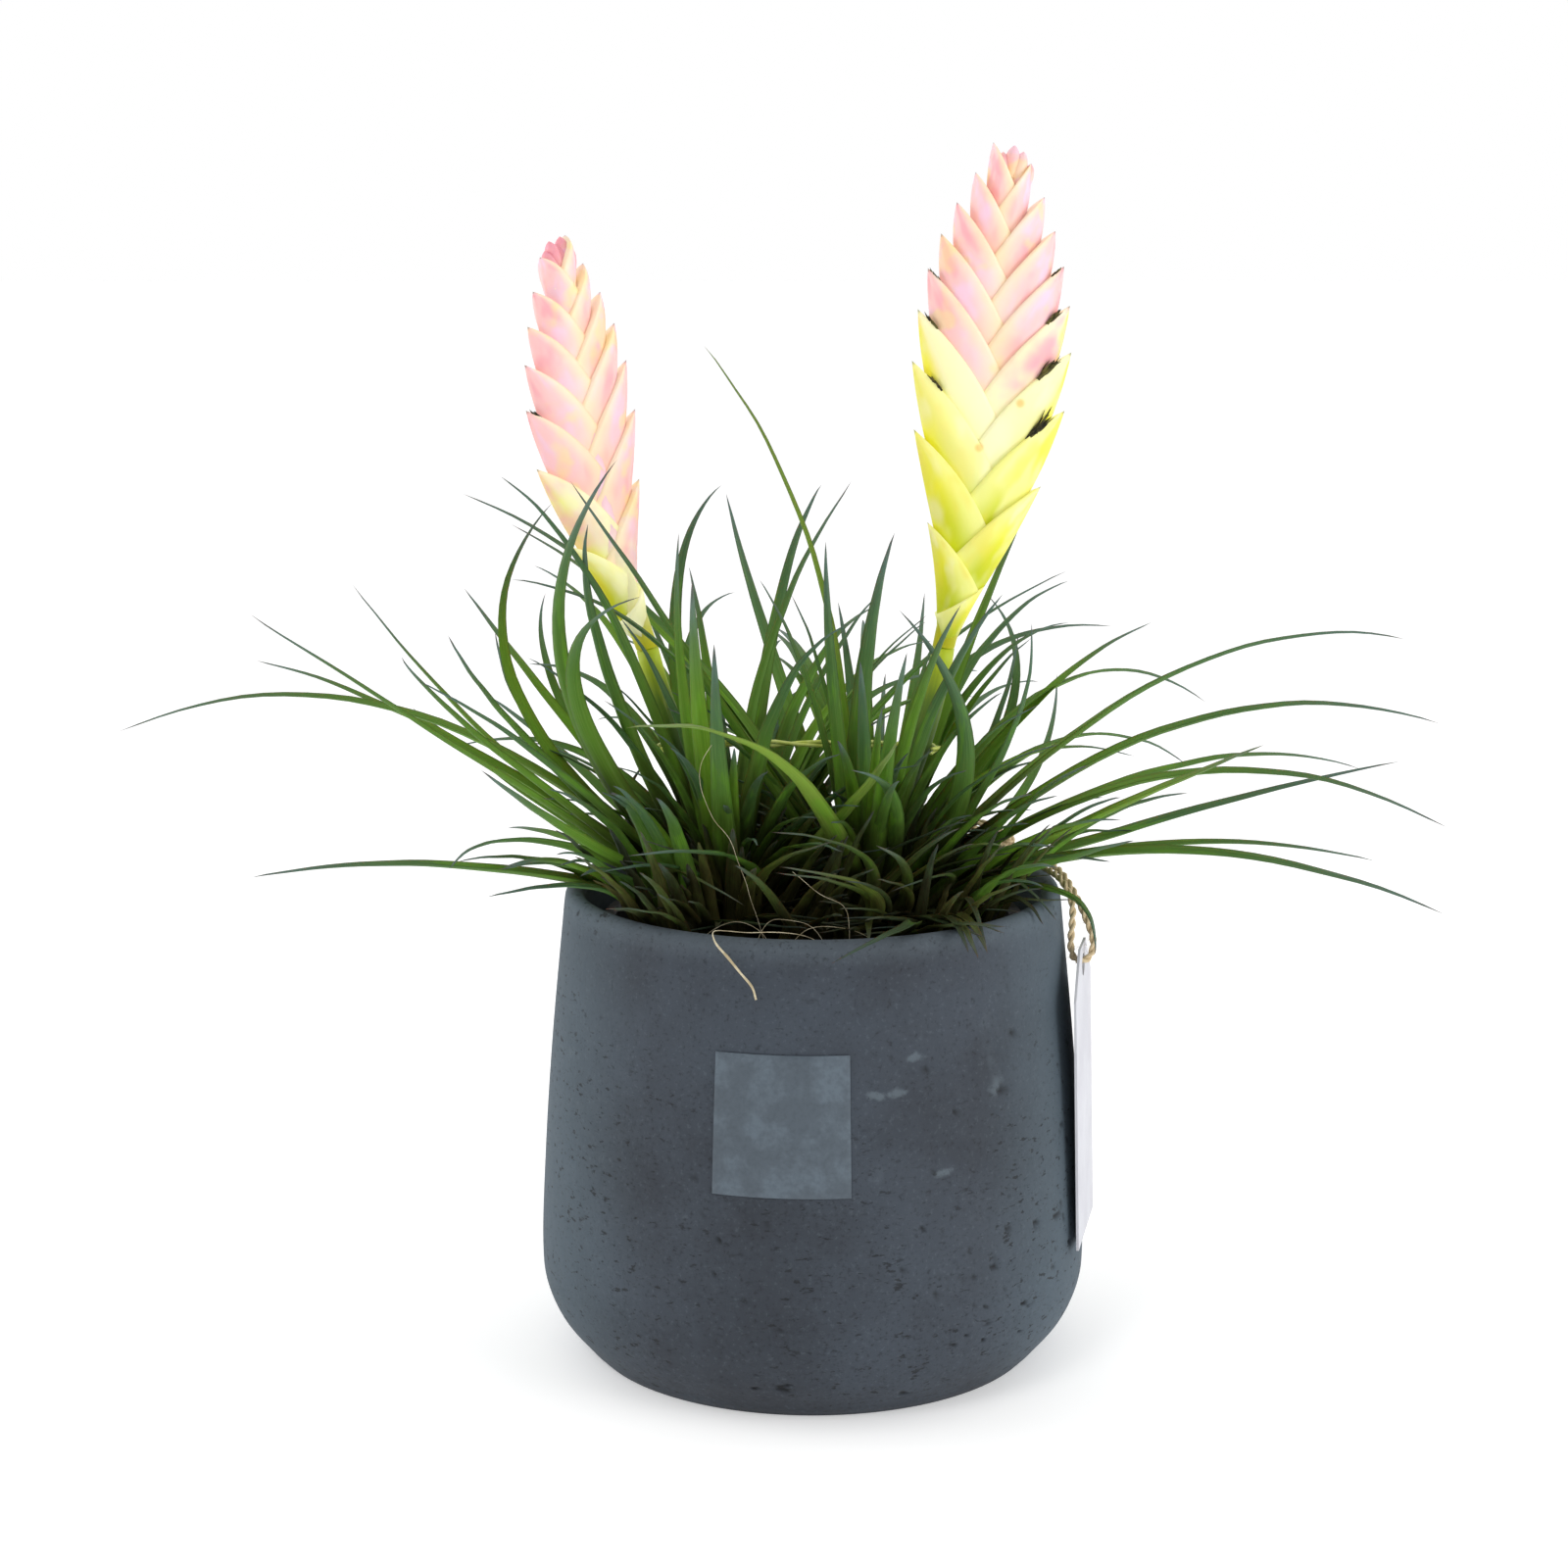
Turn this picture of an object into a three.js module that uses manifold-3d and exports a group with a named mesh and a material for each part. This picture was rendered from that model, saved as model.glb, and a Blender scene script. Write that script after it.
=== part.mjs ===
// A pair of pink quills, a bromeliad with grass-like leaves and flat flower spikes, in a round
// stone-coloured pot. Millimetres, +Z up, with the origin on the table under the middle of the pot.
// The front of the pot, which carries the label, faces -Y.
import * as THREE from 'three';
import { mergeVertices } from 'three/addons/utils/BufferGeometryUtils.js';
import Module from 'manifold-3d';

const wasm = await Module();
wasm.setup();

// Driving dimensions
const GAP = 0.3;
const POT_HEIGHT = 112;
const RIM_RADIUS = 58.7;
const BELLY_RADIUS = 65;
const BELLY_HEIGHT = 24;
const FOOT_RADIUS = 54;
const WALL = 5;
const FLOOR = 8;
const POT_SIDES = 36;
const WALL_STEPS = 9;
const GROW_POT_RADIUS = 50.5;
const GROW_POT_BASE_RADIUS = 37;
const GROW_POT_WALL = 1.2;
const GROW_POT_LIP = 2.4;
const GROW_POT_TOP = 104;
const GROW_POT_LIP_HEIGHT = 5;
const GROW_POT_SIDES = 32;
const DRAIN_HOLES = 4;
const DRAIN_RADIUS = 4;
const DRAIN_CIRCLE = 24;
const SOIL_LEVEL = 100;
const SOIL_SIDES = 30;
const SOIL_LUMPS = 2.4;
const CROWN_RADIUS = 9;
const CROWN_DEPTH = 16;
const CROWN_SIDES = 16;
const STALK_FOOT_RADIUS = 3.4;
const STALK_TOP_RADIUS = 2.6;
const STALK_SIDES = 8;
const STALK_STEPS = 4;
const LABEL_SIZE = 32;
const LABEL_THICKNESS = 0.4;
const LABEL_HEIGHT = 71;
const LABEL_BEARING = -6.4;
const TAG_WIDTH = 32;
const TAG_HEIGHT = 70;
const TAG_THICKNESS = 0.6;
const TAG_SHOULDER = 10;
const TAG_HOLE_RADIUS = 2.7;
const TAG_HOLE_HEIGHT = 65;
const TAG_CORNER = [61.6, -26, 29.5];
const TAG_YAW = 79.2;
const TAG_LEAN = 1.5;
const TWINE_DIAMETER = 1.8;
const KNOT_RADIUS = 2.9;
const TIE_DIAMETER = 1.2;
const ROOT_DIAMETER = 1.1;
const BLADE_THICKNESS = 1;
const BLADE_STEPS = 6;
const BLADE_TAPER = 0.9;
const BLADE_CHANNEL = 0.55;
const UP = new THREE.Vector3(0, 0, 1);

// The outside of the pot's wall, from the foot to below the lip: radius and height.
const WALL_MARKS = [
  [FOOT_RADIUS + 1.6, 2.2],
  [61.4, 9.5],
  [64.4, 17],
  [BELLY_RADIUS, BELLY_HEIGHT],
  [64, 48],
  [62, 75],
  [RIM_RADIUS, 108],
];

// The lip and the inside of the pot, from the lip down to the middle of the floor.
const RIM_INSIDE = RIM_RADIUS - WALL;
const LIP_MARKS = [
  [RIM_RADIUS - 0.7, 111],
  [RIM_RADIUS - 2.2, POT_HEIGHT],
  [RIM_INSIDE + 1.3, POT_HEIGHT - 0.3],
  [RIM_INSIDE, 109.5],
];
const INSIDE_MARKS = [
  [RIM_INSIDE + 3, 60],
  [RIM_INSIDE + 4, 26],
  [RIM_INSIDE - 4, 12],
  [RIM_INSIDE - 14, FLOOR],
  [0, FLOOR],
];

// A leaf that would touch another piece is bent aside: its middle rises or sways, and its tip moves.
const BLADE_CLEARANCE = 0.7;
const RISES = [0, 3, 6, 10];
const SWAYS = [0, 8, -8, 16, -16];
const SHIFTS = [0, 6, -6, 12, -12, 20, -20, 30, -30, 42, -42];

// The twine: from its knot on the rim, out through the hole in the tag and back to the knot.
const TWINE_ROUTE = [
  [48.9, 27.5, 114.7],
  [51.4, 23.8, 113.9],
  [55.4, 15.5, 113.6],
  [59, 7.6, 112.9],
  [61.9, 1.4, 109.3],
  [64.3, -3.8, 104.4],
  [65.9, -7.6, 99.6],
  [65.3, -8.9, 96.5],
  [63.2, -10.3, 95.3],
  [61.1, -11.7, 96.5],
  [60.3, -12.2, 99.6],
  [60.6, -11.4, 104.4],
  [60.7, -9, 109],
  [58.8, -4.6, 113],
  [56.1, 2.4, 114.2],
  [52.9, 11, 114.1],
  [49, 20.4, 114.2],
  [45.9, 26.7, 114.9],
];
const KNOT_CENTRE = [46.9, 30.2, 115.4];
const BOW_ROUTE = [
  [46.9, 30.2, 116.4],
  [44.4, 27.2, 119.6],
  [40, 26.6, 120.6],
  [38.4, 29.6, 119.2],
  [41.6, 31.6, 117.4],
  [46.9, 30.2, 116],
];
const TAIL_ROUTE = [
  [46.9, 30.2, 116.2],
  [49, 33.6, 117.8],
  [50, 37.4, 117.2],
  [49.2, 40.6, 114.4],
];

// The point that the plant was measured from, straight in front of it. A place read across and up
// in the upright plane through the pot's axis moves along the line of sight to its real depth.
const EYE_DISTANCE = 733;
const EYE_HEIGHT = 283;

// The two plants: where each crown stands, and the foot and top of its flower spike, how far the
// spike bows sideways, and how far its flat side is turned from the front, in degrees.
const LEFT = {
  crown: [-19, 2],
  spike: { foot: [-38.6, 168], top: [-59, 262.2], halfWidth: 15.4, bow: -3.9, turn: 40, bracts: 15 },
};
const RIGHT = {
  crown: [13, -1],
  spike: { foot: [30.5, 168.3], top: [44.8, 283], halfWidth: 18.4, bow: 3.2, turn: 4, bracts: 18 },
};

// Bracts stand in two rows. These set how high a bract's tip stands by its place in the row, how
// far it spreads, and the depth of its fold at steps along it.
const TIP_EVEN_SHARE = 0.55;
const TIP_CROWDING = 4.5;
const NODE_SHARE = 0.86;
const CLASP_DROP = 0.09;
const SPREAD = { scale: 4.31, rise: 1.25, fall: 0.9, crest: 0.15, crestRise: 12 };
const FOLD_DEPTHS = [3, 4.7, 5.1, 4];
const FOLD_WIDTH = 18.8;
const CORE_MARKS = [[3, 0], [3.6, 0.3], [2, 0.9], [0, 0.95]];
const CORE_SIDES = 8;

// A wire tie that holds the two stalks together. It hooks round each of them.
const TIE_HEIGHT = 143.5;
const TIE_REACH = 4.9;
const TIE_HOOK = [-50, 0, 50, 90];

// A dead root that has come out over the rim.
const ROOT_ROUTE = [
  [9.5, -30, 102.2],
  [6.2, -36.5, 104.9],
  [1.5, -44.5, 108.5],
  [-3, -51, 112],
  [-7.5, -54.8, 113.3],
  [-13.5, -54.2, 113.2],
  [-19, -52.3, 113.1],
  [-22, -52.6, 112.9],
  [-21.6, -55.2, 111.6],
  [-18.8, -57.1, 108.5],
  [-15.9, -58, 105],
  [-13.3, -58.9, 102],
  [-12.4, -59.4, 99.3],
];

// Leaves: [tip across, tip up, middle across, middle up, depth of tip, width at the base].
// A negative depth comes towards the viewer. Every width is then slimmed by one share.
const SLIMNESS = 0.82;
const LEFT_LEAVES = [
  [-163, 148, -94, 152, 12, 8],
  [-131, 176, -79, 141, -35, 9],
  [-130, 165, -85, 146, 45, 7],
  [-107, 183, -69, 139, 40, 8],
  [-96, 166, -73, 142, -60, 7],
  [-94, 154, -62, 129, 70, 7],
  [-92, 160, -61, 139, -55, 8],
  [-85, 171, -65, 143, -45, 11],
  [-81, 182, -57, 149, 55, 7],
  [-74, 172, -61, 142, 75, 8],
  [-60, 202, -70, 158, 25, 8],
  [-77, 157, -55, 139, 85, 6],
  [-45, 212, -58, 160, -55, 9],
  [-52, 197, -48, 160, -30, 9],
  [-62, 181, -57, 151, 60, 6],
  [-40, 180, -55, 154, -70, 9],
  [-72, 208, -46, 172, -40, 8],
  [-133, 113, -80, 115, -35, 10],
  [-86, 115, -62, 121, -75, 9],
  [-72, 125, -52, 120, 80, 8],
  [-78, 139, -52, 120, -85, 9],
  [-21, 206, -32, 172, 50, 7],
  [-31, 195, -30, 154, -45, 6],
  [-18, 181, -30, 160, 80, 6],
  [9, 207, -12, 160, 30, 7],
  [2, 206, -9, 172, 60, 7],
  [9, 174, -9, 151, -60, 9],
  [-28, 184, -26, 145, -75, 10],
  [-23, 169, -22, 138, -85, 9],
  [59, 186, 17, 155, 40, 8],
  [20, 146, 7, 127, -56, 9],
];
const RIGHT_LEAVES = [
  [-81, 204, -30, 167, 40, 8],
  [-70, 197, -25, 160, 55, 7],
  [-70, 184, -29, 162, -45, 8],
  [-56, 207, -22, 154, -40, 10],
  [-20, 204, -10, 167, 70, 7],
  [3, 193, 5, 154, -50, 7],
  [-25, 238, 2, 181, -6, 7],
  [19, 195, 12, 154, -30, 12],
  [26, 181, 22, 147, 80, 7],
  [22, 167, 17, 138, -80, 8],
  [17, 162, 15, 136, 90, 8],
  [-44, 149, -7, 139, -88, 10],
  [20, 177, 36, 140, -40, 10],
  [51, 204, 34, 160, 30, 9],
  [70, 173, 30, 158, 60, 8],
  [48, 172, 39, 140, 60, 6],
  [51, 174, 44, 140, -20, 11],
  [40, 181, 46, 151, 85, 6],
  [57, 162, 48, 131, 90, 6],
  [79, 174, 48, 150, 60, 7],
  [92, 155, 54, 157, 75, 7],
  [138, 170, 80, 159, 14, 9],
  [147, 150, 83, 148, -12, 9],
  [106, 145, 67, 127, -45, 12],
  [138, 141, 74, 124, 45, 9],
  [150, 125, 83, 137, -45, 9],
  [129, 139, 80, 138, 65, 7],
  [133, 117, 76, 120, -15, 8],
  [150, 104, 80, 119, -46, 10],
  [67, 94, 55, 110, -35, 10],
  [76, 122, 53, 115, -70, 8],
  [88, 140, 54, 144, 80, 7],
];

// Leaves that are placed by rule on the far and the near side. Bearings are in degrees and count
// from +X towards +Y, and reach and height are measured from the heart of the plant.
const FAR_LEAVES = { count: 12, bearings: [25, 155], reach: [62, 112], height: [24, 78], arch: 16 };
const NEAR_LEAVES = { count: 6, bearings: [-160, -20], reach: [34, 56], height: [36, 84], arch: 7 };
const RULED_WIDTH = [7, 9];
const LISTED_TWIST = 0.9;
const RULED_TWIST = 0.6;

const MATERIALS = {
  pot: [0x454e57, 0.85],
  label: [0x5e6972, 0.7],
  growPot: [0x1c1b1a, 0.5],
  soil: [0x2b221a, 1],
  leaf: [0x35601f, 0.5],
  bract: [0xf3c0bd, 0.55],
  tie: [0xb9c65a, 0.5],
  root: [0xd8cfb4, 0.8],
  twine: [0xc9a77c, 0.95],
  card: [0xdedfe2, 0.7],
};

const material = ([color, roughness]) => new THREE.MeshStandardMaterial({ color, roughness, metalness: 0 });

// Repeatable random numbers from 0 to 1.
function seeded(seed) {
  let state = seed;
  return () => {
    state = (state * 1664525 + 1013904223) % 4294967296;
    return state / 4294967296;
  };
}

// Solids and meshes
function solid(geometry) {
  const bare = geometry.clone();
  bare.deleteAttribute('normal');
  bare.deleteAttribute('uv');
  const merged = mergeVertices(bare, 1e-4);
  const vertProperties = new Float32Array(merged.attributes.position.array);
  const triVerts = new Uint32Array(merged.index.array);
  return new wasm.Manifold(new wasm.Mesh({ numProp: 3, vertProperties, triVerts }));
}

function geometryOf(body) {
  const mesh = body.getMesh();
  const geometry = new THREE.BufferGeometry();
  geometry.setAttribute('position', new THREE.BufferAttribute(mesh.vertProperties, 3));
  geometry.setIndex(new THREE.BufferAttribute(mesh.triVerts, 1));
  geometry.computeVertexNormals();
  return geometry;
}

// Joins geometries into one body and leaves out any loose scrap.
function fused(geometries) {
  const joined = wasm.Manifold.union(geometries.map(solid));
  return joined.decompose().reduce((best, body) => (body.volume() > best.volume() ? body : best));
}

function named(name, geometry, finish) {
  const mesh = new THREE.Mesh(geometry, material(finish));
  mesh.name = name;
  return mesh;
}

// Skins a run of closed rings. The first ring is closed flat, and the last one at a point or flat.
function loft(rings, tip) {
  const size = rings[0].length;
  const points = rings.flat();
  const faces = [];
  for (let k = 0; k < rings.length - 1; k++) {
    for (let i = 0; i < size; i++) {
      const a = k * size + i;
      const b = k * size + ((i + 1) % size);
      // Both faces of a blade are split the same way, from an edge to the middle line.
      if (i % 2) faces.push(a, b, b + size, a, b + size, a + size);
      else faces.push(a, b, a + size, b, b + size, a + size);
    }
  }
  for (let i = 1; i < size - 1; i++) faces.push(0, i + 1, i);
  const last = (rings.length - 1) * size;
  if (tip) {
    points.push(tip);
    for (let i = 0; i < size; i++) faces.push(last + i, last + ((i + 1) % size), points.length - 1);
  } else {
    for (let i = 1; i < size - 1; i++) faces.push(last, last + i, last + i + 1);
  }
  const geometry = new THREE.BufferGeometry().setFromPoints(points);
  geometry.setIndex(faces);
  return geometry;
}

// The pot and what is inside it
const flat = ([radius, height]) => new THREE.Vector2(radius, height);
const potOutline = new THREE.CatmullRomCurve3(
  WALL_MARKS.map(([radius, height]) => new THREE.Vector3(radius, height, 0)),
);

function wallRadius(height) {
  const points = potOutline.getPoints(60);
  const above = points.findIndex((p) => p.y >= height);
  const [low, high] = [points[above - 1], points[above]];
  return THREE.MathUtils.mapLinear(height, low.y, high.y, low.x, high.x);
}

function potGeometry() {
  const wall = potOutline.getPoints(WALL_STEPS).map((p) => new THREE.Vector2(p.x, p.y));
  const foot = [[0, 0], [FOOT_RADIUS, 0]].map(flat);
  const profile = [...foot, ...wall, ...LIP_MARKS.map(flat), ...INSIDE_MARKS.map(flat)];
  return new THREE.LatheGeometry(profile, POT_SIDES).rotateX(Math.PI / 2);
}

// The radius inside the grow pot at a height.
function growPotInside(height) {
  const [low, high] = [FLOOR + GAP + GROW_POT_WALL, GROW_POT_TOP];
  const narrow = GROW_POT_BASE_RADIUS - GROW_POT_WALL;
  const wide = GROW_POT_RADIUS - GROW_POT_LIP - GROW_POT_WALL;
  return THREE.MathUtils.mapLinear(height, low, high, narrow, wide);
}

function growPotGeometry() {
  const [top, base, wall] = [GROW_POT_RADIUS, GROW_POT_BASE_RADIUS, GROW_POT_WALL];
  const foot = FLOOR + GAP;
  const underLip = GROW_POT_TOP - GROW_POT_LIP_HEIGHT;
  const profile = [
    [0, foot],
    [base, foot],
    [top - GROW_POT_LIP, underLip],
    [top, underLip],
    [top, GROW_POT_TOP],
    [growPotInside(GROW_POT_TOP), GROW_POT_TOP],
    [base - wall, foot + wall],
    [0, foot + wall],
  ];
  let body = solid(new THREE.LatheGeometry(profile.map(flat), GROW_POT_SIDES).rotateX(Math.PI / 2));
  for (let k = 0; k < DRAIN_HOLES; k++) {
    const angle = (2 * Math.PI * k) / DRAIN_HOLES;
    const hole = new THREE.CylinderGeometry(DRAIN_RADIUS, DRAIN_RADIUS, 10, 10).rotateX(Math.PI / 2);
    hole.translate(DRAIN_CIRCLE * Math.cos(angle), DRAIN_CIRCLE * Math.sin(angle), foot);
    body = body.subtract(solid(hole));
  }
  return geometryOf(body);
}

// Potting bark, with a lumpy top and a plain hole for each crown.
function soilGeometry() {
  const draw = seeded(11);
  const foot = FLOOR + GROW_POT_WALL + 2 * GAP;
  const clear = 2 * GAP;
  const topRadius = growPotInside(SOIL_LEVEL - 2) - clear;
  const profile = [
    [0, foot],
    [growPotInside(foot) - clear, foot],
    [topRadius, SOIL_LEVEL - 2],
    [0.8 * topRadius, SOIL_LEVEL],
    [0.56 * topRadius, SOIL_LEVEL],
    [0.3 * topRadius, SOIL_LEVEL],
    [0, SOIL_LEVEL],
  ];
  const geometry = new THREE.LatheGeometry(profile.map(flat), SOIL_SIDES).rotateX(Math.PI / 2);
  geometry.deleteAttribute('normal');
  geometry.deleteAttribute('uv');
  const lumpy = mergeVertices(geometry, 1e-3);
  const place = lumpy.attributes.position;
  for (let i = 0; i < place.count; i++) {
    if (place.getZ(i) > SOIL_LEVEL - 1) place.setZ(i, SOIL_LEVEL + SOIL_LUMPS * (draw() - 0.5));
  }
  let body = solid(lumpy);
  for (const plant of [LEFT, RIGHT]) {
    const radius = CROWN_RADIUS + GAP;
    const hole = new THREE.CylinderGeometry(radius, radius, 40, 20).rotateX(Math.PI / 2);
    hole.translate(plant.crown[0], plant.crown[1], SOIL_LEVEL - CROWN_DEPTH - GAP + 20);
    body = body.subtract(solid(hole));
  }
  return geometryOf(body);
}

// The square label: a thin sheet bent round the wall.
function labelGeometry() {
  const sheet = new THREE.BoxGeometry(LABEL_SIZE, LABEL_THICKNESS, LABEL_SIZE, 8, 1, 2);
  const place = sheet.attributes.position;
  for (let i = 0; i < place.count; i++) {
    const height = LABEL_HEIGHT + place.getZ(i);
    const radius = wallRadius(height) + GAP + LABEL_THICKNESS / 2 - place.getY(i);
    const bearing = THREE.MathUtils.degToRad(LABEL_BEARING) + place.getX(i) / BELLY_RADIUS;
    place.setXYZ(i, radius * Math.sin(bearing), -radius * Math.cos(bearing), height);
  }
  return sheet;
}

// Leaves
function alongSight(across, up, depth) {
  const share = depth / EYE_DISTANCE;
  return new THREE.Vector3(across * (1 + share), depth, up + (up - EYE_HEIGHT) * share);
}

// One channelled blade from base to tip: a shallow V section that narrows to a point.
function blade({ base, middle, tip, width, twist }, margin = 0) {
  const bend = middle.clone().multiplyScalar(2).addScaledVector(base, -0.5).addScaledVector(tip, -0.5);
  const spine = new THREE.QuadraticBezierCurve3(base, bend, tip);
  const bearing = tip.clone().sub(base).setZ(0).normalize();
  const level = new THREE.Vector3(bearing.y, -bearing.x, 0);
  const rings = [];
  for (let k = 0; k < BLADE_STEPS; k++) {
    const t = k / BLADE_STEPS;
    const along = spine.getTangent(t);
    const side = level.clone().applyAxisAngle(along, twist * t);
    const face = side.clone().cross(along).normalize();
    const half = 0.5 * (width * (1 - t) ** BLADE_TAPER + margin);
    const thick = 0.5 * (BLADE_THICKNESS * (1 - 0.35 * t) + margin);
    const edge = half * (BLADE_CHANNEL - 0.15 * t);
    const centre = spine.getPoint(t);
    const corner = (s, f) => centre.clone().addScaledVector(side, s).addScaledVector(face, f);
    rings.push([corner(-half, edge), corner(0, thick), corner(half, edge), corner(0, -thick)]);
  }
  return loft(rings, tip.clone().addScaledVector(spine.getTangent(1), margin));
}

// The heart of a plant, that its leaves grow out of.
const heart = (plant) => new THREE.Vector3(plant.crown[0], plant.crown[1], SOIL_LEVEL + 3);

function listedLeaf(plant, [tipX, tipZ, middleX, middleZ, depth, width], twist, shift, sway, rise) {
  const root = heart(plant);
  const tip = alongSight(tipX, tipZ, depth + shift);
  const middle = alongSight(middleX, middleZ + rise, 0.45 * (depth + shift) + 0.5 * root.y + sway);
  const outward = middle.clone().sub(root).setZ(0).setLength(0.5 * CROWN_RADIUS);
  return { base: root.add(outward), middle, tip, width: SLIMNESS * width, twist };
}

function ruledLeaf(plant, bearing, reach, height, arch, width, twist, shift, sway, rise) {
  const turned = bearing + shift / reach;
  const outward = new THREE.Vector3(Math.cos(turned), Math.sin(turned), 0);
  const root = heart(plant);
  const tip = root.clone().addScaledVector(outward, reach).addScaledVector(UP, height);
  const middle = root.clone().addScaledVector(outward, 0.46 * reach);
  middle.addScaledVector(UP, 0.5 * height + arch + rise).add(new THREE.Vector3(sway, 0, 0));
  const base = root.addScaledVector(outward, 0.5 * CROWN_RADIUS);
  return { base, middle, tip, width: SLIMNESS * width, twist };
}

// The first way of laying a leaf that touches none of the obstacles, or nothing.
function laidClear(lay, obstacles) {
  const sideways = SWAYS.flatMap((sway) => SHIFTS.map((shift) => [shift, sway]));
  const moves = RISES.flatMap((rise) => sideways.map((move) => [...move, rise]));
  const clear = moves.find((move) => {
    const swept = solid(blade(lay(...move), BLADE_CLEARANCE));
    return obstacles.every((other) => swept.intersect(other).isEmpty());
  });
  return clear ? [blade(lay(...clear))] : [];
}

function ruledLeaves(plant, { count, bearings, reach, height, arch }, draw, obstacles) {
  return Array.from({ length: count }, (_, k) => {
    const bearing = THREE.MathUtils.degToRad(THREE.MathUtils.lerp(...bearings, (k + draw()) / count));
    const far = THREE.MathUtils.lerp(...reach, draw());
    const high = THREE.MathUtils.lerp(...height, draw());
    const width = THREE.MathUtils.lerp(...RULED_WIDTH, draw());
    const twist = (draw() - 0.5) * RULED_TWIST;
    const lay = (...move) => ruledLeaf(plant, bearing, far, high, arch, width, twist, ...move);
    return laidClear(lay, obstacles);
  }).flat();
}

function leafBlades(plant, leaves, draw, obstacles) {
  const listed = leaves.flatMap((leaf) => {
    const twist = (draw() - 0.5) * LISTED_TWIST;
    return laidClear((...move) => listedLeaf(plant, leaf, twist, ...move), obstacles);
  });
  const far = ruledLeaves(plant, FAR_LEAVES, draw, obstacles);
  return [...listed, ...far, ...ruledLeaves(plant, NEAR_LEAVES, draw, obstacles)];
}

function crownGeometry(plant) {
  const foot = SOIL_LEVEL - CROWN_DEPTH;
  const profile = [
    [0, foot],
    [5, foot + 1],
    [CROWN_RADIUS, SOIL_LEVEL - 8],
    [CROWN_RADIUS - 0.5, SOIL_LEVEL - 1],
    [CROWN_RADIUS - 3, SOIL_LEVEL + 6],
    [0, SOIL_LEVEL + 11],
  ];
  const geometry = new THREE.LatheGeometry(profile.map(flat), CROWN_SIDES).rotateX(Math.PI / 2);
  return geometry.translate(plant.crown[0], plant.crown[1], 0);
}

// The middle line of a flower spike's stalk, from the crown to the foot of the spike.
function stalkSpine(plant) {
  const { foot, top } = plant.spike;
  const end = new THREE.Vector3(foot[0], 0, foot[1]);
  const lean = new THREE.Vector3(top[0] - foot[0], 0, top[1] - foot[1]).normalize();
  const base = new THREE.Vector3(plant.crown[0], plant.crown[1], SOIL_LEVEL);
  return new THREE.CubicBezierCurve3(
    base,
    base.clone().addScaledVector(UP, 22),
    end.clone().addScaledVector(lean, -26),
    end.clone().addScaledVector(lean, -GAP),
  );
}

const stalkCentre = (plant, height) => stalkSpine(plant).getPoints(100).find((point) => point.z >= height);

function stalkGeometry(plant) {
  const spine = stalkSpine(plant);
  const rings = Array.from({ length: STALK_STEPS + 1 }, (_, k) => {
    const t = k / STALK_STEPS;
    const along = spine.getTangent(t);
    const side = new THREE.Vector3(0, 1, 0).cross(along).normalize();
    const front = side.clone().cross(along).normalize();
    const radius = THREE.MathUtils.lerp(STALK_FOOT_RADIUS, STALK_TOP_RADIUS, t);
    return Array.from({ length: STALK_SIDES }, (_, i) => {
      const angle = (-2 * Math.PI * i) / STALK_SIDES;
      const out = side.clone().multiplyScalar(radius * Math.cos(angle));
      return spine.getPoint(t).add(out.addScaledVector(front, radius * Math.sin(angle)));
    });
  });
  return loft(rings);
}

function plantGeometry(plant, leaves, seed, obstacles) {
  const stem = [crownGeometry(plant), stalkGeometry(plant)];
  return geometryOf(fused([...stem, ...leafBlades(plant, leaves, seeded(seed), obstacles)]));
}

// Flower spikes: two rows of keeled bracts that lap over each other, in the spike's own frame.
// X runs across the flat of the spike, Y through its thickness and Z up its axis.
function bract(length, halfWidth, share, side) {
  const crowding = (1 - TIP_EVEN_SHARE) * (1 - (1 - share) ** TIP_CROWDING);
  const tipShare = TIP_EVEN_SHARE * share + crowding;
  const open = SPREAD.scale * tipShare ** SPREAD.rise * (1 - Math.min(tipShare, 0.99)) ** SPREAD.fall;
  const spread = open + SPREAD.crest * tipShare ** SPREAD.crestRise;
  const tip = new THREE.Vector2(side * halfWidth * spread, length * tipShare);
  const node = length * NODE_SHARE * share;
  const clasp = Math.max(0, node - CLASP_DROP * length);
  const lap = node + 0.18 * (tip.y - node);
  const keel = new THREE.QuadraticBezierCurve(
    new THREE.Vector2(side * 2, clasp),
    new THREE.Vector2((0.3 + 0.9 * tipShare) * tip.x, clasp + 0.5 * (tip.y - clasp)),
    tip,
  );
  const margin = new THREE.QuadraticBezierCurve(
    new THREE.Vector2(-side * 4, lap),
    new THREE.Vector2(0.2 * tip.x, lap + 0.6 * (tip.y - lap)),
    tip,
  );
  const scale = halfWidth / FOLD_WIDTH;
  const rings = FOLD_DEPTHS.map((depth, k) => {
    const u = k / FOLD_DEPTHS.length;
    const [outer, inner] = [keel.getPoint(u), margin.getPoint(u)];
    const at = (v, d) => {
      const across = outer.clone().lerp(inner, v);
      return new THREE.Vector3(across.x, d * depth * scale, across.y);
    };
    return [at(0, 0), at(0.34, -0.9), at(1, -1), at(1, 1), at(0.34, 0.9)];
  });
  if (side > 0) rings.forEach((ring) => ring.reverse());
  return loft(rings, new THREE.Vector3(tip.x, 0, tip.y));
}

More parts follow.
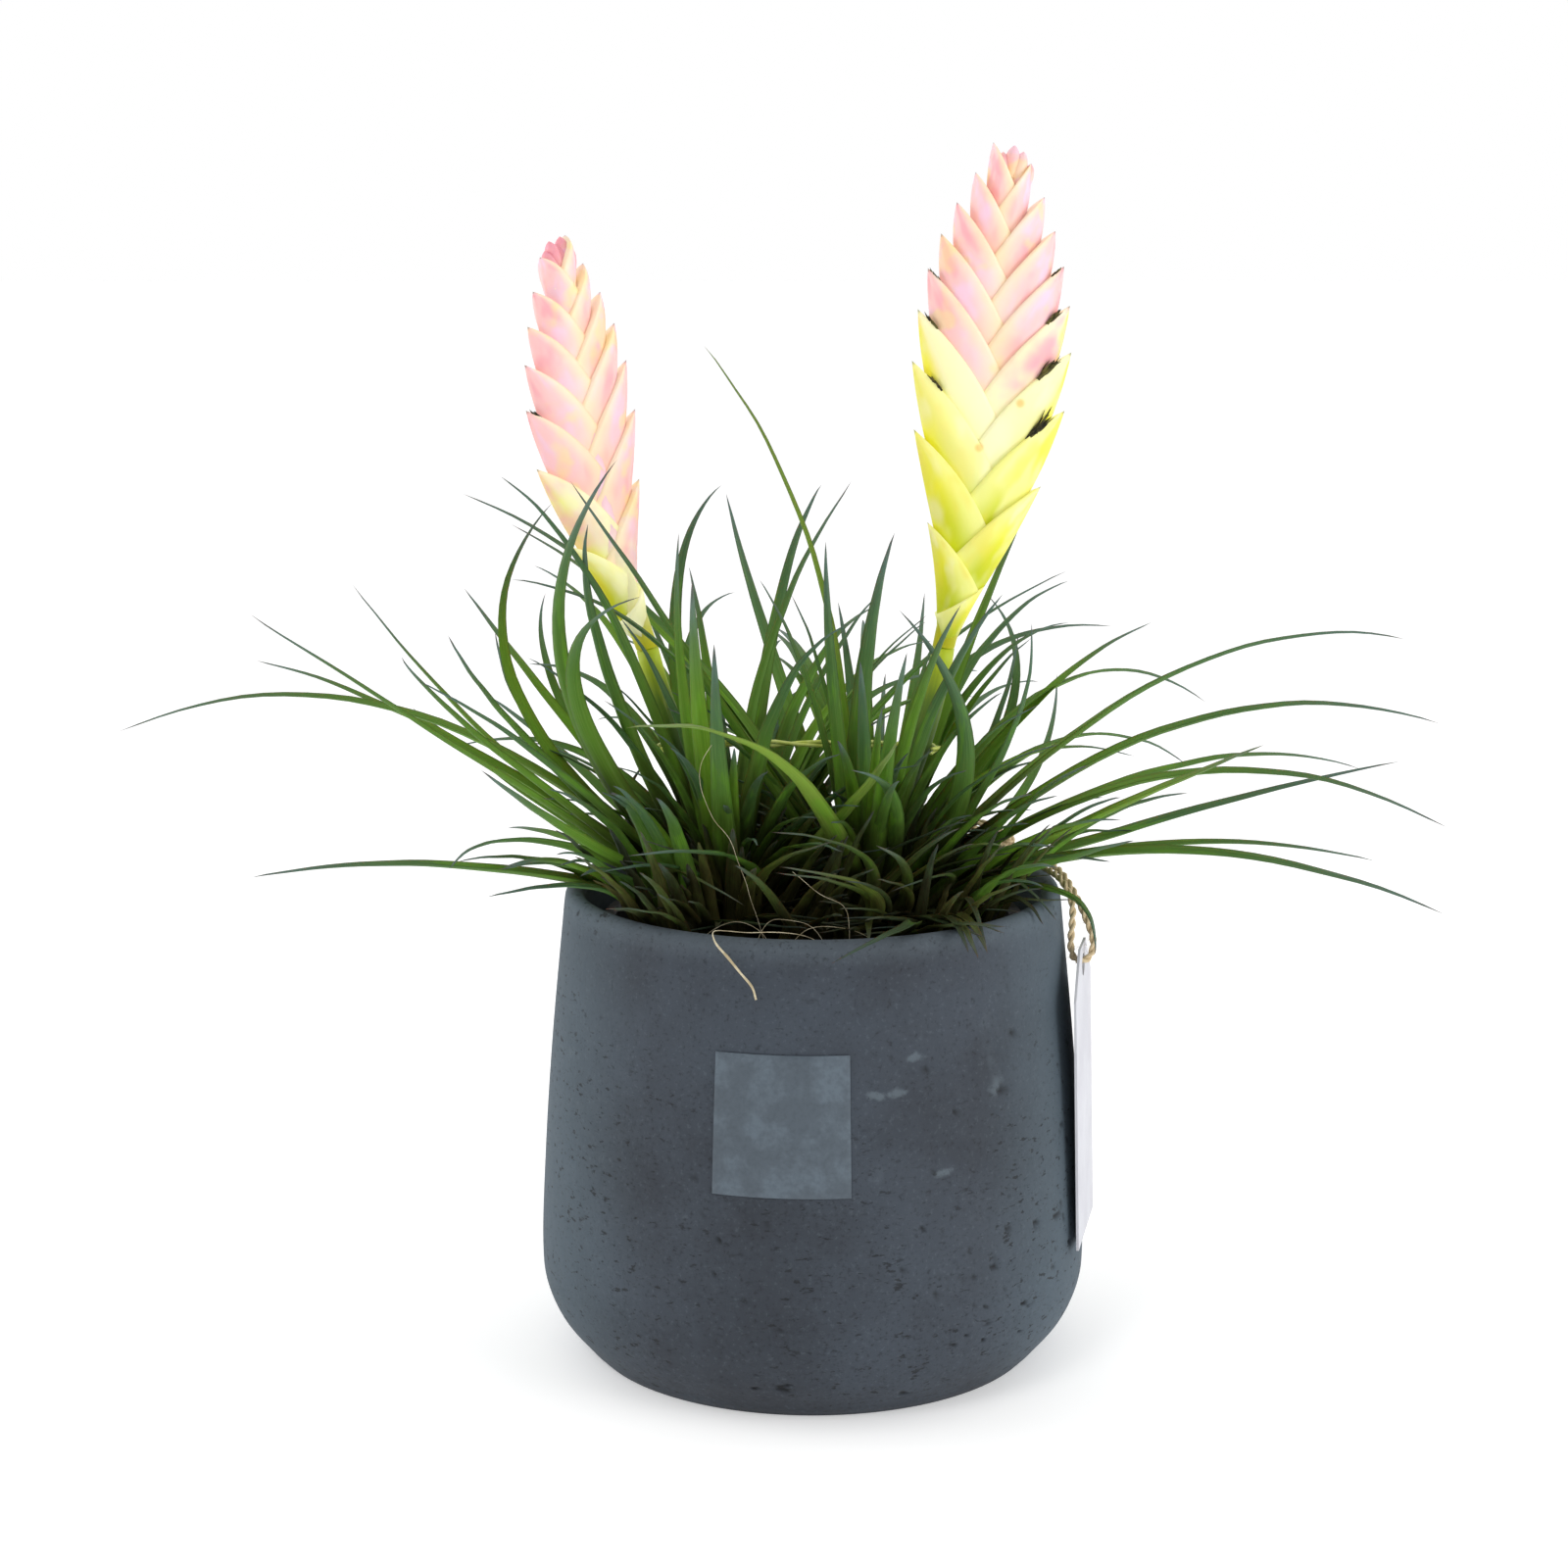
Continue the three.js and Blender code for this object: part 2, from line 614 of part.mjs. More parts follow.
function spikeGeometry({ foot, top, halfWidth, bow, turn, bracts }) {
  const [run, rise] = [top[0] - foot[0], top[1] - foot[1]];
  const length = Math.hypot(run, rise);
  const core = [[0, 0], ...CORE_MARKS.map(([radius, share]) => [radius, share * length])];
  const parts = [new THREE.LatheGeometry(core.map(flat), CORE_SIDES).rotateX(Math.PI / 2)];
  for (let k = 0; k < bracts; k++) {
    parts.push(bract(length, halfWidth, (k + 1) / bracts, k % 2 ? -1 : 1));
  }
  const geometry = geometryOf(fused(parts));
  geometry.rotateZ(THREE.MathUtils.degToRad(turn));
  const place = geometry.attributes.position;
  for (let i = 0; i < place.count; i++) {
    const share = place.getZ(i) / length;
    place.setX(i, place.getX(i) + 6.75 * bow * share * (1 - share) ** 2);
  }
  geometry.rotateY(Math.atan2(run, rise));
  return geometry.translate(foot[0], 0, foot[1]);
}

// A round tube along a smooth curve through the given points.
function tube(points, diameter, sides, steps) {
  const section = new THREE.Shape();
  for (let i = 0; i < sides; i++) {
    const angle = (i * 2 * Math.PI) / sides;
    const [x, y] = [0.5 * diameter * Math.cos(angle), 0.5 * diameter * Math.sin(angle)];
    if (i) section.lineTo(x, y);
    else section.moveTo(x, y);
  }
  section.closePath();
  const extrudePath = new THREE.CatmullRomCurve3(points.map((p) => new THREE.Vector3(...p)));
  return new THREE.ExtrudeGeometry(section, { extrudePath, steps, curveSegments: 1 });
}

// The hang tag: a card with clipped upper corners, hung by its hole against the side of the pot.
function tagGeometry() {
  const outline = new THREE.Shape();
  outline.moveTo(0, 0);
  outline.lineTo(TAG_WIDTH, 0);
  outline.lineTo(TAG_WIDTH, TAG_HEIGHT - TAG_SHOULDER);
  outline.lineTo(TAG_WIDTH - TAG_SHOULDER, TAG_HEIGHT);
  outline.lineTo(TAG_SHOULDER, TAG_HEIGHT);
  outline.lineTo(0, TAG_HEIGHT - TAG_SHOULDER);
  outline.closePath();
  const hole = new THREE.Path();
  hole.absarc(TAG_WIDTH / 2, TAG_HOLE_HEIGHT, TAG_HOLE_RADIUS, 0, 2 * Math.PI, true);
  outline.holes.push(hole);
  const sheet = { depth: TAG_THICKNESS, bevelEnabled: false, curveSegments: 8 };
  const card = new THREE.ExtrudeGeometry(outline, sheet);
  card.rotateX(Math.PI / 2);
  card.rotateZ(THREE.MathUtils.degToRad(TAG_YAW));
  card.rotateY(THREE.MathUtils.degToRad(-TAG_LEAN));
  return card.translate(...TAG_CORNER);
}

function knotGeometry() {
  const ball = new THREE.SphereGeometry(KNOT_RADIUS, 10, 6).translate(...KNOT_CENTRE);
  const bow = tube(BOW_ROUTE, TWINE_DIAMETER, 8, 14);
  const tail = tube(TAIL_ROUTE, TWINE_DIAMETER, 8, 6);
  return geometryOf(fused([ball, bow, tail]));
}

// The wire tie, hooked round the outer side of each stalk and passing behind the leaves between.
function tieGeometry() {
  const [left, right] = [LEFT, RIGHT].map((plant) => stalkCentre(plant, TIE_HEIGHT));
  const hook = (centre, side) => TIE_HOOK.map((degrees) => {
    const angle = THREE.MathUtils.degToRad(degrees);
    const x = centre.x + side * TIE_REACH * Math.cos(angle);
    return [x, centre.y + TIE_REACH * Math.sin(angle), centre.z];
  });
  return tube([...hook(left, -1), ...hook(right, 1).reverse()], TIE_DIAMETER, 6, 26);
}

const part = new THREE.Group();
const bodies = {};
function add(name, geometry, finish) {
  part.add(named(name, geometry, finish));
  bodies[name] = solid(geometry);
}

add('pot', potGeometry(), MATERIALS.pot);
add('label', labelGeometry(), MATERIALS.label);
add('grow_pot', growPotGeometry(), MATERIALS.growPot);
add('potting_bark', soilGeometry(), MATERIALS.soil);
add('flower_spike_left', spikeGeometry(LEFT.spike), MATERIALS.bract);
add('flower_spike_right', spikeGeometry(RIGHT.spike), MATERIALS.bract);
add('plant_tie', tieGeometry(), MATERIALS.tie);
add('twine', tube(TWINE_ROUTE, TWINE_DIAMETER, 8, 34), MATERIALS.twine);
add('twine_knot', knotGeometry(), MATERIALS.twine);
add('hang_tag', tagGeometry(), MATERIALS.card);
add('dry_root', tube(ROOT_ROUTE, ROOT_DIAMETER, 6, 20), MATERIALS.root);

// The left plant keeps clear of the right one's stem, and the right plant then of the whole left one.
const rightStem = fused([crownGeometry(RIGHT), stalkGeometry(RIGHT)]);
const around = Object.values(bodies);
add('plant_left', plantGeometry(LEFT, LEFT_LEAVES, 5, [...around, rightStem]), MATERIALS.leaf);
add('plant_right', plantGeometry(RIGHT, RIGHT_LEAVES, 8, [...around, bodies.plant_left]), MATERIALS.leaf);

export default part;
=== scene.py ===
"""The looks of a pair of pink quills in a round stone-coloured pot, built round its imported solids.

Metres, +Z up, with the origin on the table under the middle of the pot. The front faces -Y.
"""

import logging
import math
from dataclasses import dataclass, field, replace
from enum import Enum
from itertools import pairwise, product
from random import Random
from typing import Any, Callable, ClassVar, Iterator, Sequence

import bpy
from mathutils import Matrix, Vector, noise
from mathutils.bvhtree import BVHTree


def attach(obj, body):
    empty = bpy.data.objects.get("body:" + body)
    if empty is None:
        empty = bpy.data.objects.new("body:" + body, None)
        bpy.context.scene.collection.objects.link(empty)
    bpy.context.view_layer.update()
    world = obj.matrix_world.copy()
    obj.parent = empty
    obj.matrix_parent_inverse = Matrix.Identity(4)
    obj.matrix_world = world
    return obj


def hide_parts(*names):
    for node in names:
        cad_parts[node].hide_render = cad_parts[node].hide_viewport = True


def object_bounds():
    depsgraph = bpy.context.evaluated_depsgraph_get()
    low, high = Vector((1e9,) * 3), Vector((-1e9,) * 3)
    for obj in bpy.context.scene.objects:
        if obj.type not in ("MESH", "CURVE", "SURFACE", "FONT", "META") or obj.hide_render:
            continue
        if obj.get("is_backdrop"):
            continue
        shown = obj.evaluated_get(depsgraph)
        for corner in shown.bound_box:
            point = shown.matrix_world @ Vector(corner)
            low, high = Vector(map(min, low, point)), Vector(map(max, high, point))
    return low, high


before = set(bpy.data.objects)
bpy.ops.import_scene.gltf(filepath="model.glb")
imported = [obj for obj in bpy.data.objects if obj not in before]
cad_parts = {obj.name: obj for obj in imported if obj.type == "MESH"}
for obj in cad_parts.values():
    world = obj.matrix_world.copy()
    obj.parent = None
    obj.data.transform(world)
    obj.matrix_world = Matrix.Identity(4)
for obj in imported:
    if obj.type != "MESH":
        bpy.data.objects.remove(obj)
cad_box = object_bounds()

log = logging.getLogger("pink_quill")

MM = 0.001
TURN = 2 * math.pi
BODY = "root"
UP = Vector((0, 0, 1))

Outline = Sequence[tuple[float, float]]
Route = Sequence[tuple[float, float, float]]


def hex_colour(code: str) -> tuple[float, float, float, float]:
    """Turns a colour as painted, such as "#46505a", into linear light.

    Args:
        code: Six hexadecimal digits after a hash.

    Returns:
        Red, green, blue and an alpha of 1.
    """
    channels = [int(code[i : i + 2], 16) / 255 for i in (1, 3, 5)]
    linear = [c / 12.92 if c <= 0.04045 else ((c + 0.055) / 1.055) ** 2.4 for c in channels]
    return (*linear, 1.0)


# Shader maths


@dataclass(frozen=True)
class Signal:
    """One output of a shader node. Arithmetic on it adds Math nodes."""

    graph: "Graph"
    socket: bpy.types.NodeSocket

    def __add__(self, other: "Term") -> "Signal":
        """Adds."""
        return self.graph.math("ADD", self, other)

    def __radd__(self, other: "Term") -> "Signal":
        """Adds to a plain number."""
        return self.graph.math("ADD", other, self)

    def __sub__(self, other: "Term") -> "Signal":
        """Subtracts."""
        return self.graph.math("SUBTRACT", self, other)

    def __rsub__(self, other: "Term") -> "Signal":
        """Subtracts from a plain number."""
        return self.graph.math("SUBTRACT", other, self)

    def __mul__(self, other: "Term") -> "Signal":
        """Multiplies."""
        return self.graph.math("MULTIPLY", self, other)

    def __rmul__(self, other: "Term") -> "Signal":
        """Multiplies a plain number."""
        return self.graph.math("MULTIPLY", other, self)


Term = Signal | float | tuple | str


class Graph:
    """The node tree of one material."""

    def __init__(self, name: str) -> None:
        """Makes an empty material.

        Args:
            name: The material's name.
        """
        self.material = bpy.data.materials.new(name)
        self.material.use_nodes = True
        self.tree = self.material.node_tree
        self.tree.nodes.clear()

    def node(
        self,
        kind: str,
        settings: dict[str, Any] | None = None,
        inputs: dict[str | int, Term] | None = None,
        output: str | int | None = 0,
    ) -> Signal | None:
        """Adds a node.

        Args:
            kind: The node's type.
            settings: Its own settings. "stops" gives a ramp's positions and colours.
            inputs: Values, colours or links of its sockets, by name or number.
            output: The socket that is wanted, if any.

        Returns:
            The wanted output, or None.
        """
        made = self.tree.nodes.new(kind)
        for name, value in (settings or {}).items():
            if name == "stops":
                self._set_stops(made.color_ramp, value)
            else:
                setattr(made, name, value)
        for name, value in (inputs or {}).items():
            if isinstance(value, Signal):
                self.tree.links.new(value.socket, made.inputs[name])
            else:
                made.inputs[name].default_value = hex_colour(value) if isinstance(value, str) else value
        return None if output is None else Signal(self, made.outputs[output])

    @staticmethod
    def _set_stops(ramp: bpy.types.ColorRamp, stops: Sequence[tuple[float, str]]) -> None:
        """Sets a ramp's stops, which start with the two that it is made with."""
        while len(ramp.elements) < len(stops):
            ramp.elements.new(1.0)
        for element, (position, code) in zip(ramp.elements, stops):
            element.position = position
            element.color = hex_colour(code)

    def math(self, operation: str, *terms: Term) -> Signal:
        """Adds a Math node on its terms, in order."""
        return self.node("ShaderNodeMath", {"operation": operation}, dict(enumerate(terms)))

    def mix(self, share: Term, first: Term, second: Term) -> Signal:
        """Mixes two colours, with share of the second."""
        return self.node("ShaderNodeMix", {"data_type": "RGBA"}, {0: share, 6: first, 7: second}, 2)

    def ramp(self, share: Term, stops: Sequence[tuple[float, str]]) -> Signal:
        """Looks a number up along a run of colours."""
        return self.node("ShaderNodeValToRGB", {"stops": stops}, {0: share})

    def step(self, value: Term, low: float, high: float) -> Signal:
        """Rises smoothly from 0 at low to 1 at high."""
        limits = {"Value": value, "From Min": low, "From Max": high}
        return self.node("ShaderNodeMapRange", {"interpolation_type": "SMOOTHSTEP"}, limits)

    def mark(self, name: str) -> Signal:
        """Reads a number that the mesh carries at each point."""
        return self.node("ShaderNodeAttribute", {"attribute_name": name}, output="Fac")

    def place(self) -> Signal:
        """The point's own place on the object."""
        return self.node("ShaderNodeTexCoord", output="Object")

    def stretched(self, x: Term, y: Term, z: Term = 0.0) -> Signal:
        """A point made of three numbers."""
        return self.node("ShaderNodeCombineXYZ", None, {"X": x, "Y": y, "Z": z})

    def away(self, at: Signal, x: float, z: float, flatness: float = 1.0) -> Signal:
        """How far a point lies from a spot, as seen from the front.

        Args:
            at: The point's own place.
            x: How far the spot lies to the right of the middle.
            z: The spot's height.
            flatness: How many times as wide as it is high a spot is.

        Returns:
            The distance, with heights stretched by the flatness.
        """
        seen = self.node("ShaderNodeVectorMath", {"operation": "MULTIPLY"}, {0: at, 1: (1, 0, flatness)})
        ends = {0: seen, 1: (x, 0, flatness * z)}
        return self.node("ShaderNodeVectorMath", {"operation": "DISTANCE"}, ends, "Value")

    def cloud(self, at: Signal, scale: float, detail: float = 3.0, rough: float = 0.55) -> Signal:
        """Soft random values from about 0 to 1."""
        inputs = {"Vector": at, "Scale": scale, "Detail": detail, "Roughness": rough}
        return self.node("ShaderNodeTexNoise", None, inputs)

    def bump(self, height: Signal, distance: float, strength: float = 1.0) -> Signal:
        """Turns a height from 0 to 1 into a surface direction, distance being the height of 1."""
        inputs = {"Height": height, "Distance": distance, "Strength": strength}
        return self.node("ShaderNodeBump", None, inputs)

    def finish(self, inputs: dict[str, Term]) -> bpy.types.Material:
        """Adds the surface and returns the material."""
        surface = self.node("ShaderNodeBsdfPrincipled", None, inputs)
        self.node("ShaderNodeOutputMaterial", None, {"Surface": surface}, None)
        return self.material


# Finishes


@dataclass(frozen=True)
class Finish:
    """A surface: the record's slot that it fills, and how its material is made."""

    slot: ClassVar[str]

    def material(self) -> bpy.types.Material:
        """Returns the material, which is built once."""
        name = f"{self.slot}_{type(self).__name__}"
        return bpy.data.materials.get(name) or self.build(Graph(name))

    def build(self, graph: Graph) -> bpy.types.Material:
        """Builds the material's nodes."""
        raise NotImplementedError


@dataclass(frozen=True)
class StoneFinish(Finish):
    """Fibre cement: slate grey, cloudy and finely speckled, with dark pits and pale rubbed patches, and
    painted light that makes its left and right sides lighter and bluer.
    """

    slot: ClassVar[str] = "pot_stone"
    dark: str = "#2e333b"
    light: str = "#3e4650"
    # painted light: the lighter, bluer colour that is painted on the pot's left and right sides
    cool: str = "#5b6d78"
    pale: str = "#76848c"
    pit: str = "#121518"
    rubs: tuple[tuple[float, float], ...] = (
        (22.9 * MM, 85.5 * MM), (14 * MM, 77.6 * MM), (18.8 * MM, 77.8 * MM), (29.1 * MM, 58.6 * MM),
    )
    rub_flatness: float = 2.2

    def build(self, graph: Graph) -> bpy.types.Material:
        """Builds the material's nodes."""
        at = graph.place()
        split = {axis: graph.node("ShaderNodeSeparateXYZ", None, {0: at}, axis) for axis in "XZ"}
        flat = graph.node("ShaderNodeMapping", None, {"Vector": at, "Scale": (1, 1, 2.4)})
        clouds = graph.cloud(at, 22, 5, 0.6)
        speckle = graph.cloud(at, 900, 2, 0.7)
        grain = graph.cloud(at, 330, 3, 0.65)
        colour = graph.mix(graph.step(clouds, 0.3, 0.72), self.dark, self.light)
        rubbed = graph.step(graph.cloud(at, 55, 3), 0.66, 0.78) * graph.step(split["Z"], 14 * MM, 30 * MM)
        colour = graph.mix(rubbed * 0.3, colour, self.pale)
        for x, z in self.rubs:
            ragged = graph.away(at, x, z, self.rub_flatness) + 5 * MM * (graph.cloud(at, 420, 3) - 0.5)
            worn = 1 - graph.step(ragged, 0.8 * MM, 3 * MM)
            colour = graph.mix(worn * 0.34, colour, self.pale)
        colour = graph.mix(graph.mark("lip") * 0.2, colour, self.pale)
        colour = graph.mix(graph.step(speckle, 0.56, 0.75) * 0.12, colour, self.pale)
        colour = graph.mix(graph.step(1 - speckle, 0.55, 0.75) * 0.5, colour, self.pit)
        low = 1 - graph.step(split["Z"], 30 * MM, 105 * MM)
        # Painted light: the left and right sides are painted lighter and bluer, as if lit from the sides,
        # while the middle stays dark.
        aside = graph.step(graph.math("ABSOLUTE", split["X"]), 34 * MM, 62 * MM)
        colour = graph.mix(aside * 0.45, colour, self.cool)
        often = graph.step(graph.cloud(at, 34, 2) + 0.22 * low + 0.16 * aside, 0.5, 0.78)
        flecks = graph.step(graph.cloud(flat, 330, 3, 0.6), 0.6, 0.68) * often
        specks = graph.step(graph.cloud(flat, 640, 2), 0.6, 0.7) * often
        colour = graph.mix(specks * 0.3, colour, self.pit)
        colour = graph.mix(flecks * 0.75, colour, self.pit)
        colour = graph.mix(graph.mark("pit") * 0.9, colour, self.pit)
        height = 0.6 * grain + 0.4 * speckle - 0.8 * flecks
        return graph.finish(
            {
                "Base Color": colour,
                "Roughness": 0.72 + 0.2 * grain,
                "Specular IOR Level": 0.45,
                "Normal": graph.bump(height, 0.25 * MM, 0.5),
            }
        )


@dataclass(frozen=True)
class LabelFinish(Finish):
    """A clear satin film over the stone, bare, a shade lighter and faintly mottled."""

    slot: ClassVar[str] = "label_film"
    film: str = "#4a555f"
    thin: str = "#5f6c77"

    def build(self, graph: Graph) -> bpy.types.Material:
        """Builds the material's nodes."""
        at = graph.place()
        mottle = graph.step(graph.cloud(at, 130, 5, 0.65), 0.42, 0.66)
        colour = graph.mix(mottle * 0.8, self.film, self.thin)
        colour = graph.mix(graph.step(graph.cloud(at, 900, 2), 0.4, 0.7) * 0.3, colour, "#39434c")
        return graph.finish(
            {
                "Base Color": colour,
                "Roughness": 0.5 + 0.2 * mottle,
                "Normal": graph.bump(graph.cloud(at, 330, 3), 0.08 * MM, 0.5),
            }
        )


@dataclass(frozen=True)
class GrowPotFinish(Finish):
    """Thin black nursery plastic, dusty from the bark."""

    slot: ClassVar[str] = "grow_pot_plastic"

    def build(self, graph: Graph) -> bpy.types.Material:
        """Builds the material's nodes."""
        at = graph.place()
        dust = graph.step(graph.cloud(at, 90, 4), 0.45, 0.75)
        colour = graph.mix(dust * 0.25, "#100f0e", "#3a2f24")
        fine = graph.bump(graph.cloud(at, 600, 2), 0.05 * MM, 0.6)
        matt = {"Roughness": 0.55 + 0.35 * dust, "Specular IOR Level": 0.25}
        return graph.finish({"Base Color": colour, "Normal": fine, **matt})


@dataclass(frozen=True)
class BarkFinish(Finish):
    """Composted bark: near black between the chips, with brown and rusty faces."""

    slot: ClassVar[str] = "potting_bark"

    def build(self, graph: Graph) -> bpy.types.Material:
        """Builds the material's nodes."""
        at = graph.place()
        layered = graph.node("ShaderNodeMapping", None, {"Vector": at, "Scale": (1, 1, 3)})
        fibre = graph.cloud(layered, 260, 4, 0.7)
        stops = [(0.25, "#080605"), (0.5, "#1b130d"), (0.68, "#33210f"), (0.85, "#513822")]
        colour = graph.ramp(fibre * 0.7 + 0.3 * graph.mark("tone"), stops)
        return graph.finish(
            {"Base Color": colour, "Roughness": 0.95, "Normal": graph.bump(fibre, 0.5 * MM, 0.8)}
        )


@dataclass(frozen=True)
class LeafFinish(Finish):
    """Grass-like leaves: brown to near black at the root, partly their own colour and partly painted shade
    deep in the clump, bright green below, darker up, grey-green at the tip.
    """

    slot: ClassVar[str] = "leaf"

    def build(self, graph: Graph) -> bpy.types.Material:
        """Builds the material's nodes."""
        along, across, tone = graph.mark("along"), graph.mark("across"), graph.mark("tone")
        reach, dry = graph.mark("reach"), graph.mark("dry")
        veins = graph.cloud(graph.stretched(across * 9.0, along * 3.0, tone * 60.0), 1.6, 3, 0.6)
        blotch = graph.cloud(graph.stretched(across * 0.8, along * 7.0, tone * 90.0), 1.0, 2)
        shifted = along + 0.14 * (blotch - 0.5)
        stops = [
            (0.0, "#4c4c1e"),
            (0.2, "#62802b"),
            (0.42, "#5e8730"),
            (0.62, "#50772f"),
            (0.8, "#53714b"),
            (0.93, "#617970"),
            (1.0, "#5b5359"),
        ]
        colour = graph.ramp(shifted, stops)
        fresh = graph.step(tone, 0.6, 0.95) * (1 - graph.step(along, 0.55, 0.95))
        colour = graph.mix(fresh * 0.65, colour, "#6f9a22")
        pale = graph.step(tone, 0.985, 0.999)
        colour = graph.mix(pale * 0.6, colour, "#86a045")
        cool = (1 - graph.step(tone, 0.1, 0.45)) * graph.step(along, 0.3, 0.65)
        colour = graph.mix(cool * 0.4, colour, "#46625a")
        bright = graph.step(blotch, 0.54, 0.68) * (1 - graph.step(along, 0.5, 0.85))
        colour = graph.mix(bright * 0.5, colour, "#6ba228")
        colour = graph.mix(graph.step(veins, 0.5, 0.72) * 0.3, colour, "#86a45c")
        colour = graph.mix(graph.step(1 - veins, 0.5, 0.72) * 0.3, colour, "#1d3310")
        colour = graph.mix(graph.step(across * across, 0.6, 1.0) * 0.35, colour, "#1d3314")
        # The root of each leaf is painted near black: partly its own brown, partly painted shade where the
        # leaves crowd together at the heart.
        sheath = 1 - graph.step(reach + 0.03 * (blotch - 0.5), 0.012, 0.047)
        colour = graph.mix(sheath * 0.9, colour, "#1e1710")
        straws = [(0.2, "#1e1a10"), (0.6, "#3f3a1f"), (0.92, "#685d35")]
        straw = graph.ramp(veins + 0.5 * (tone - 0.5), straws)
        colour = graph.mix(dry, colour, straw)
        return graph.finish(
            {
                "Base Color": colour,
                "Roughness": 0.4 + 0.25 * veins + 0.25 * sheath,
                "Subsurface Weight": 0.06,
                "Subsurface Scale": 1.2 * MM,
                "Specular IOR Level": 0.1,
                "Normal": graph.bump(veins, 0.14 * MM, 0.6),
            }
        )


@dataclass(frozen=True)
class StemFinish(Finish):
    """The flower stalk and its sheath: fresh green, yellower towards the flower."""

    slot: ClassVar[str] = "leaf"

    def build(self, graph: Graph) -> bpy.types.Material:
        """Builds the material's nodes."""
        along = graph.mark("along")
        streaks = graph.cloud(graph.stretched(graph.mark("across") * 14.0, along * 5.0), 1.5, 3)
        stops = [(0.0, "#120e09"), (0.4, "#1c210d"), (0.65, "#34501a"), (0.82, "#64831f"), (0.96, "#b6c816")]
        colour = graph.ramp(along + 0.12 * (streaks - 0.5), stops)
        colour = graph.mix(graph.step(streaks, 0.55, 0.8) * 0.3, colour, "#c5c98a")
        return graph.finish(
            {
                "Base Color": colour,
                "Roughness": 0.5,
                "Subsurface Weight": 0.1,
                "Subsurface Scale": 2 * MM,
                "Normal": graph.bump(streaks, 0.15 * MM, 0.5),
            }
        )


@dataclass(frozen=True)
class BractFinish(Finish):
    """Waxy flower bracts: yellow-green at the foot of a spike, cream and pink above, tinted lilac, with a
    faint painted glow of light that is strongest towards their free margins.
    """

    slot: ClassVar[str] = "bract"
    spots: tuple[tuple[float, float], ...] = ((38.1 * MM, 215 * MM), (47.4 * MM, 225.1 * MM))
    # painted light: how strongly the bracts glow, as if lit through from behind
    painted_glow_strength: float = 0.13

    def build(self, graph: Graph) -> bpy.types.Material:
        """Builds the material's nodes."""
        ripe, along, across = graph.mark("ripe"), graph.mark("along"), graph.mark("across")
        tone = graph.mark("tone")
        at = graph.place()
        clouds = graph.cloud(at, 110, 2, 0.5)
        patches = graph.cloud(graph.stretched(across * 1.3, along * 2.4, tone * 70.0), 1.0, 2, 0.5)
        inward = across + 0.25 * (patches - 0.5)
        colour = graph.mix(
            graph.step(ripe + 0.2 * (clouds - 0.5) + 0.12 * (patches - 0.5), 0.47, 0.56),
            self._young(graph, ripe, along, inward, patches),
            self._grown(graph, along, inward, patches, clouds),
        )
        rosy = graph.step(ripe, 1.05, 1.15) * (0.4 + 0.6 * graph.step(along, 0.3, 0.8))
        colour = graph.mix(rosy * 0.75, colour, "#e98b9c")
        for x, z in self.spots:
            spot = 1 - graph.step(graph.away(at, x, z), 0.4 * MM, 1.5 * MM)
            colour = graph.mix(spot * 0.7, colour, "#f2b95c")
        colour = graph.mix(graph.step(along, 0.965, 0.995) * 0.7, colour, "#77826e")
        ribs = graph.cloud(graph.stretched(across * 16.0, along * 3.0, tone * 30.0), 1.0, 3)
        # Painted light: the bracts glow faintly in their own colour, least at the keel and most towards the
        # free margin, which faces the dim front.
        glow = graph.mix(0.25 + 0.75 * graph.step(across, 0.1, 0.8), "#000000", colour)
        return graph.finish(
            {
                "Base Color": colour,
                "Roughness": 0.42 + 0.15 * clouds,
                "Subsurface Weight": 0.2,
                "Subsurface Radius": (1.0, 0.6, 0.45),
                "Subsurface Scale": 2.5 * MM,
                "Emission Color": glow,
                "Emission Strength": self.painted_glow_strength,
                "Normal": graph.bump(ribs, 0.1 * MM, 0.4),
            }
        )

    @staticmethod
    def _young(graph: Graph, ripe: Signal, along: Signal, inward: Signal, patches: Signal) -> Signal:
        """Yellow-green at the base, clear yellow further out, with a cream free margin."""
        stops = [(0.0, "#a8bf08"), (0.3, "#d2d812"), (0.6, "#f1ec2c"), (1.0, "#efe86a")]
        colour = graph.ramp(along, stops)
        colour = graph.mix(graph.step(inward, 0.35, 0.9) * 0.75, colour, "#f8f59a")
        colour = graph.mix(graph.step(patches, 0.5, 0.68) * 0.45, colour, "#fbf7c6")
        colour = graph.mix(graph.step(1 - patches, 0.52, 0.68) * 0.4, colour, "#eedb3c")
        creamy = graph.step(ripe, 0.3, 0.46) * graph.step(inward, 0.1, 0.45)
        return graph.mix(creamy * 0.75, colour, "#fdf7cf")

    @staticmethod
    def _grown(graph: Graph, along: Signal, inward: Signal, patches: Signal, clouds: Signal) -> Signal:
        """Pink with rose and lilac patches, cream along the free margin and at the base."""
        colour = graph.mix(graph.step(patches, 0.5, 0.66) * 0.7, "#f9c4c2", "#f0a0ab")
        colour = graph.mix(graph.step(1 - patches, 0.5, 0.66) * 0.6, colour, "#f0cbe8")
        colour = graph.mix(graph.step(inward, 0.6, 1.0) * 0.7, colour, "#fce8bd")
        colour = graph.mix((1 - graph.step(along, 0.1, 0.45)) * 0.5, colour, "#fadfae")
        return graph.mix(graph.step(clouds, 0.56, 0.67) * 0.45, colour, "#f6e088")


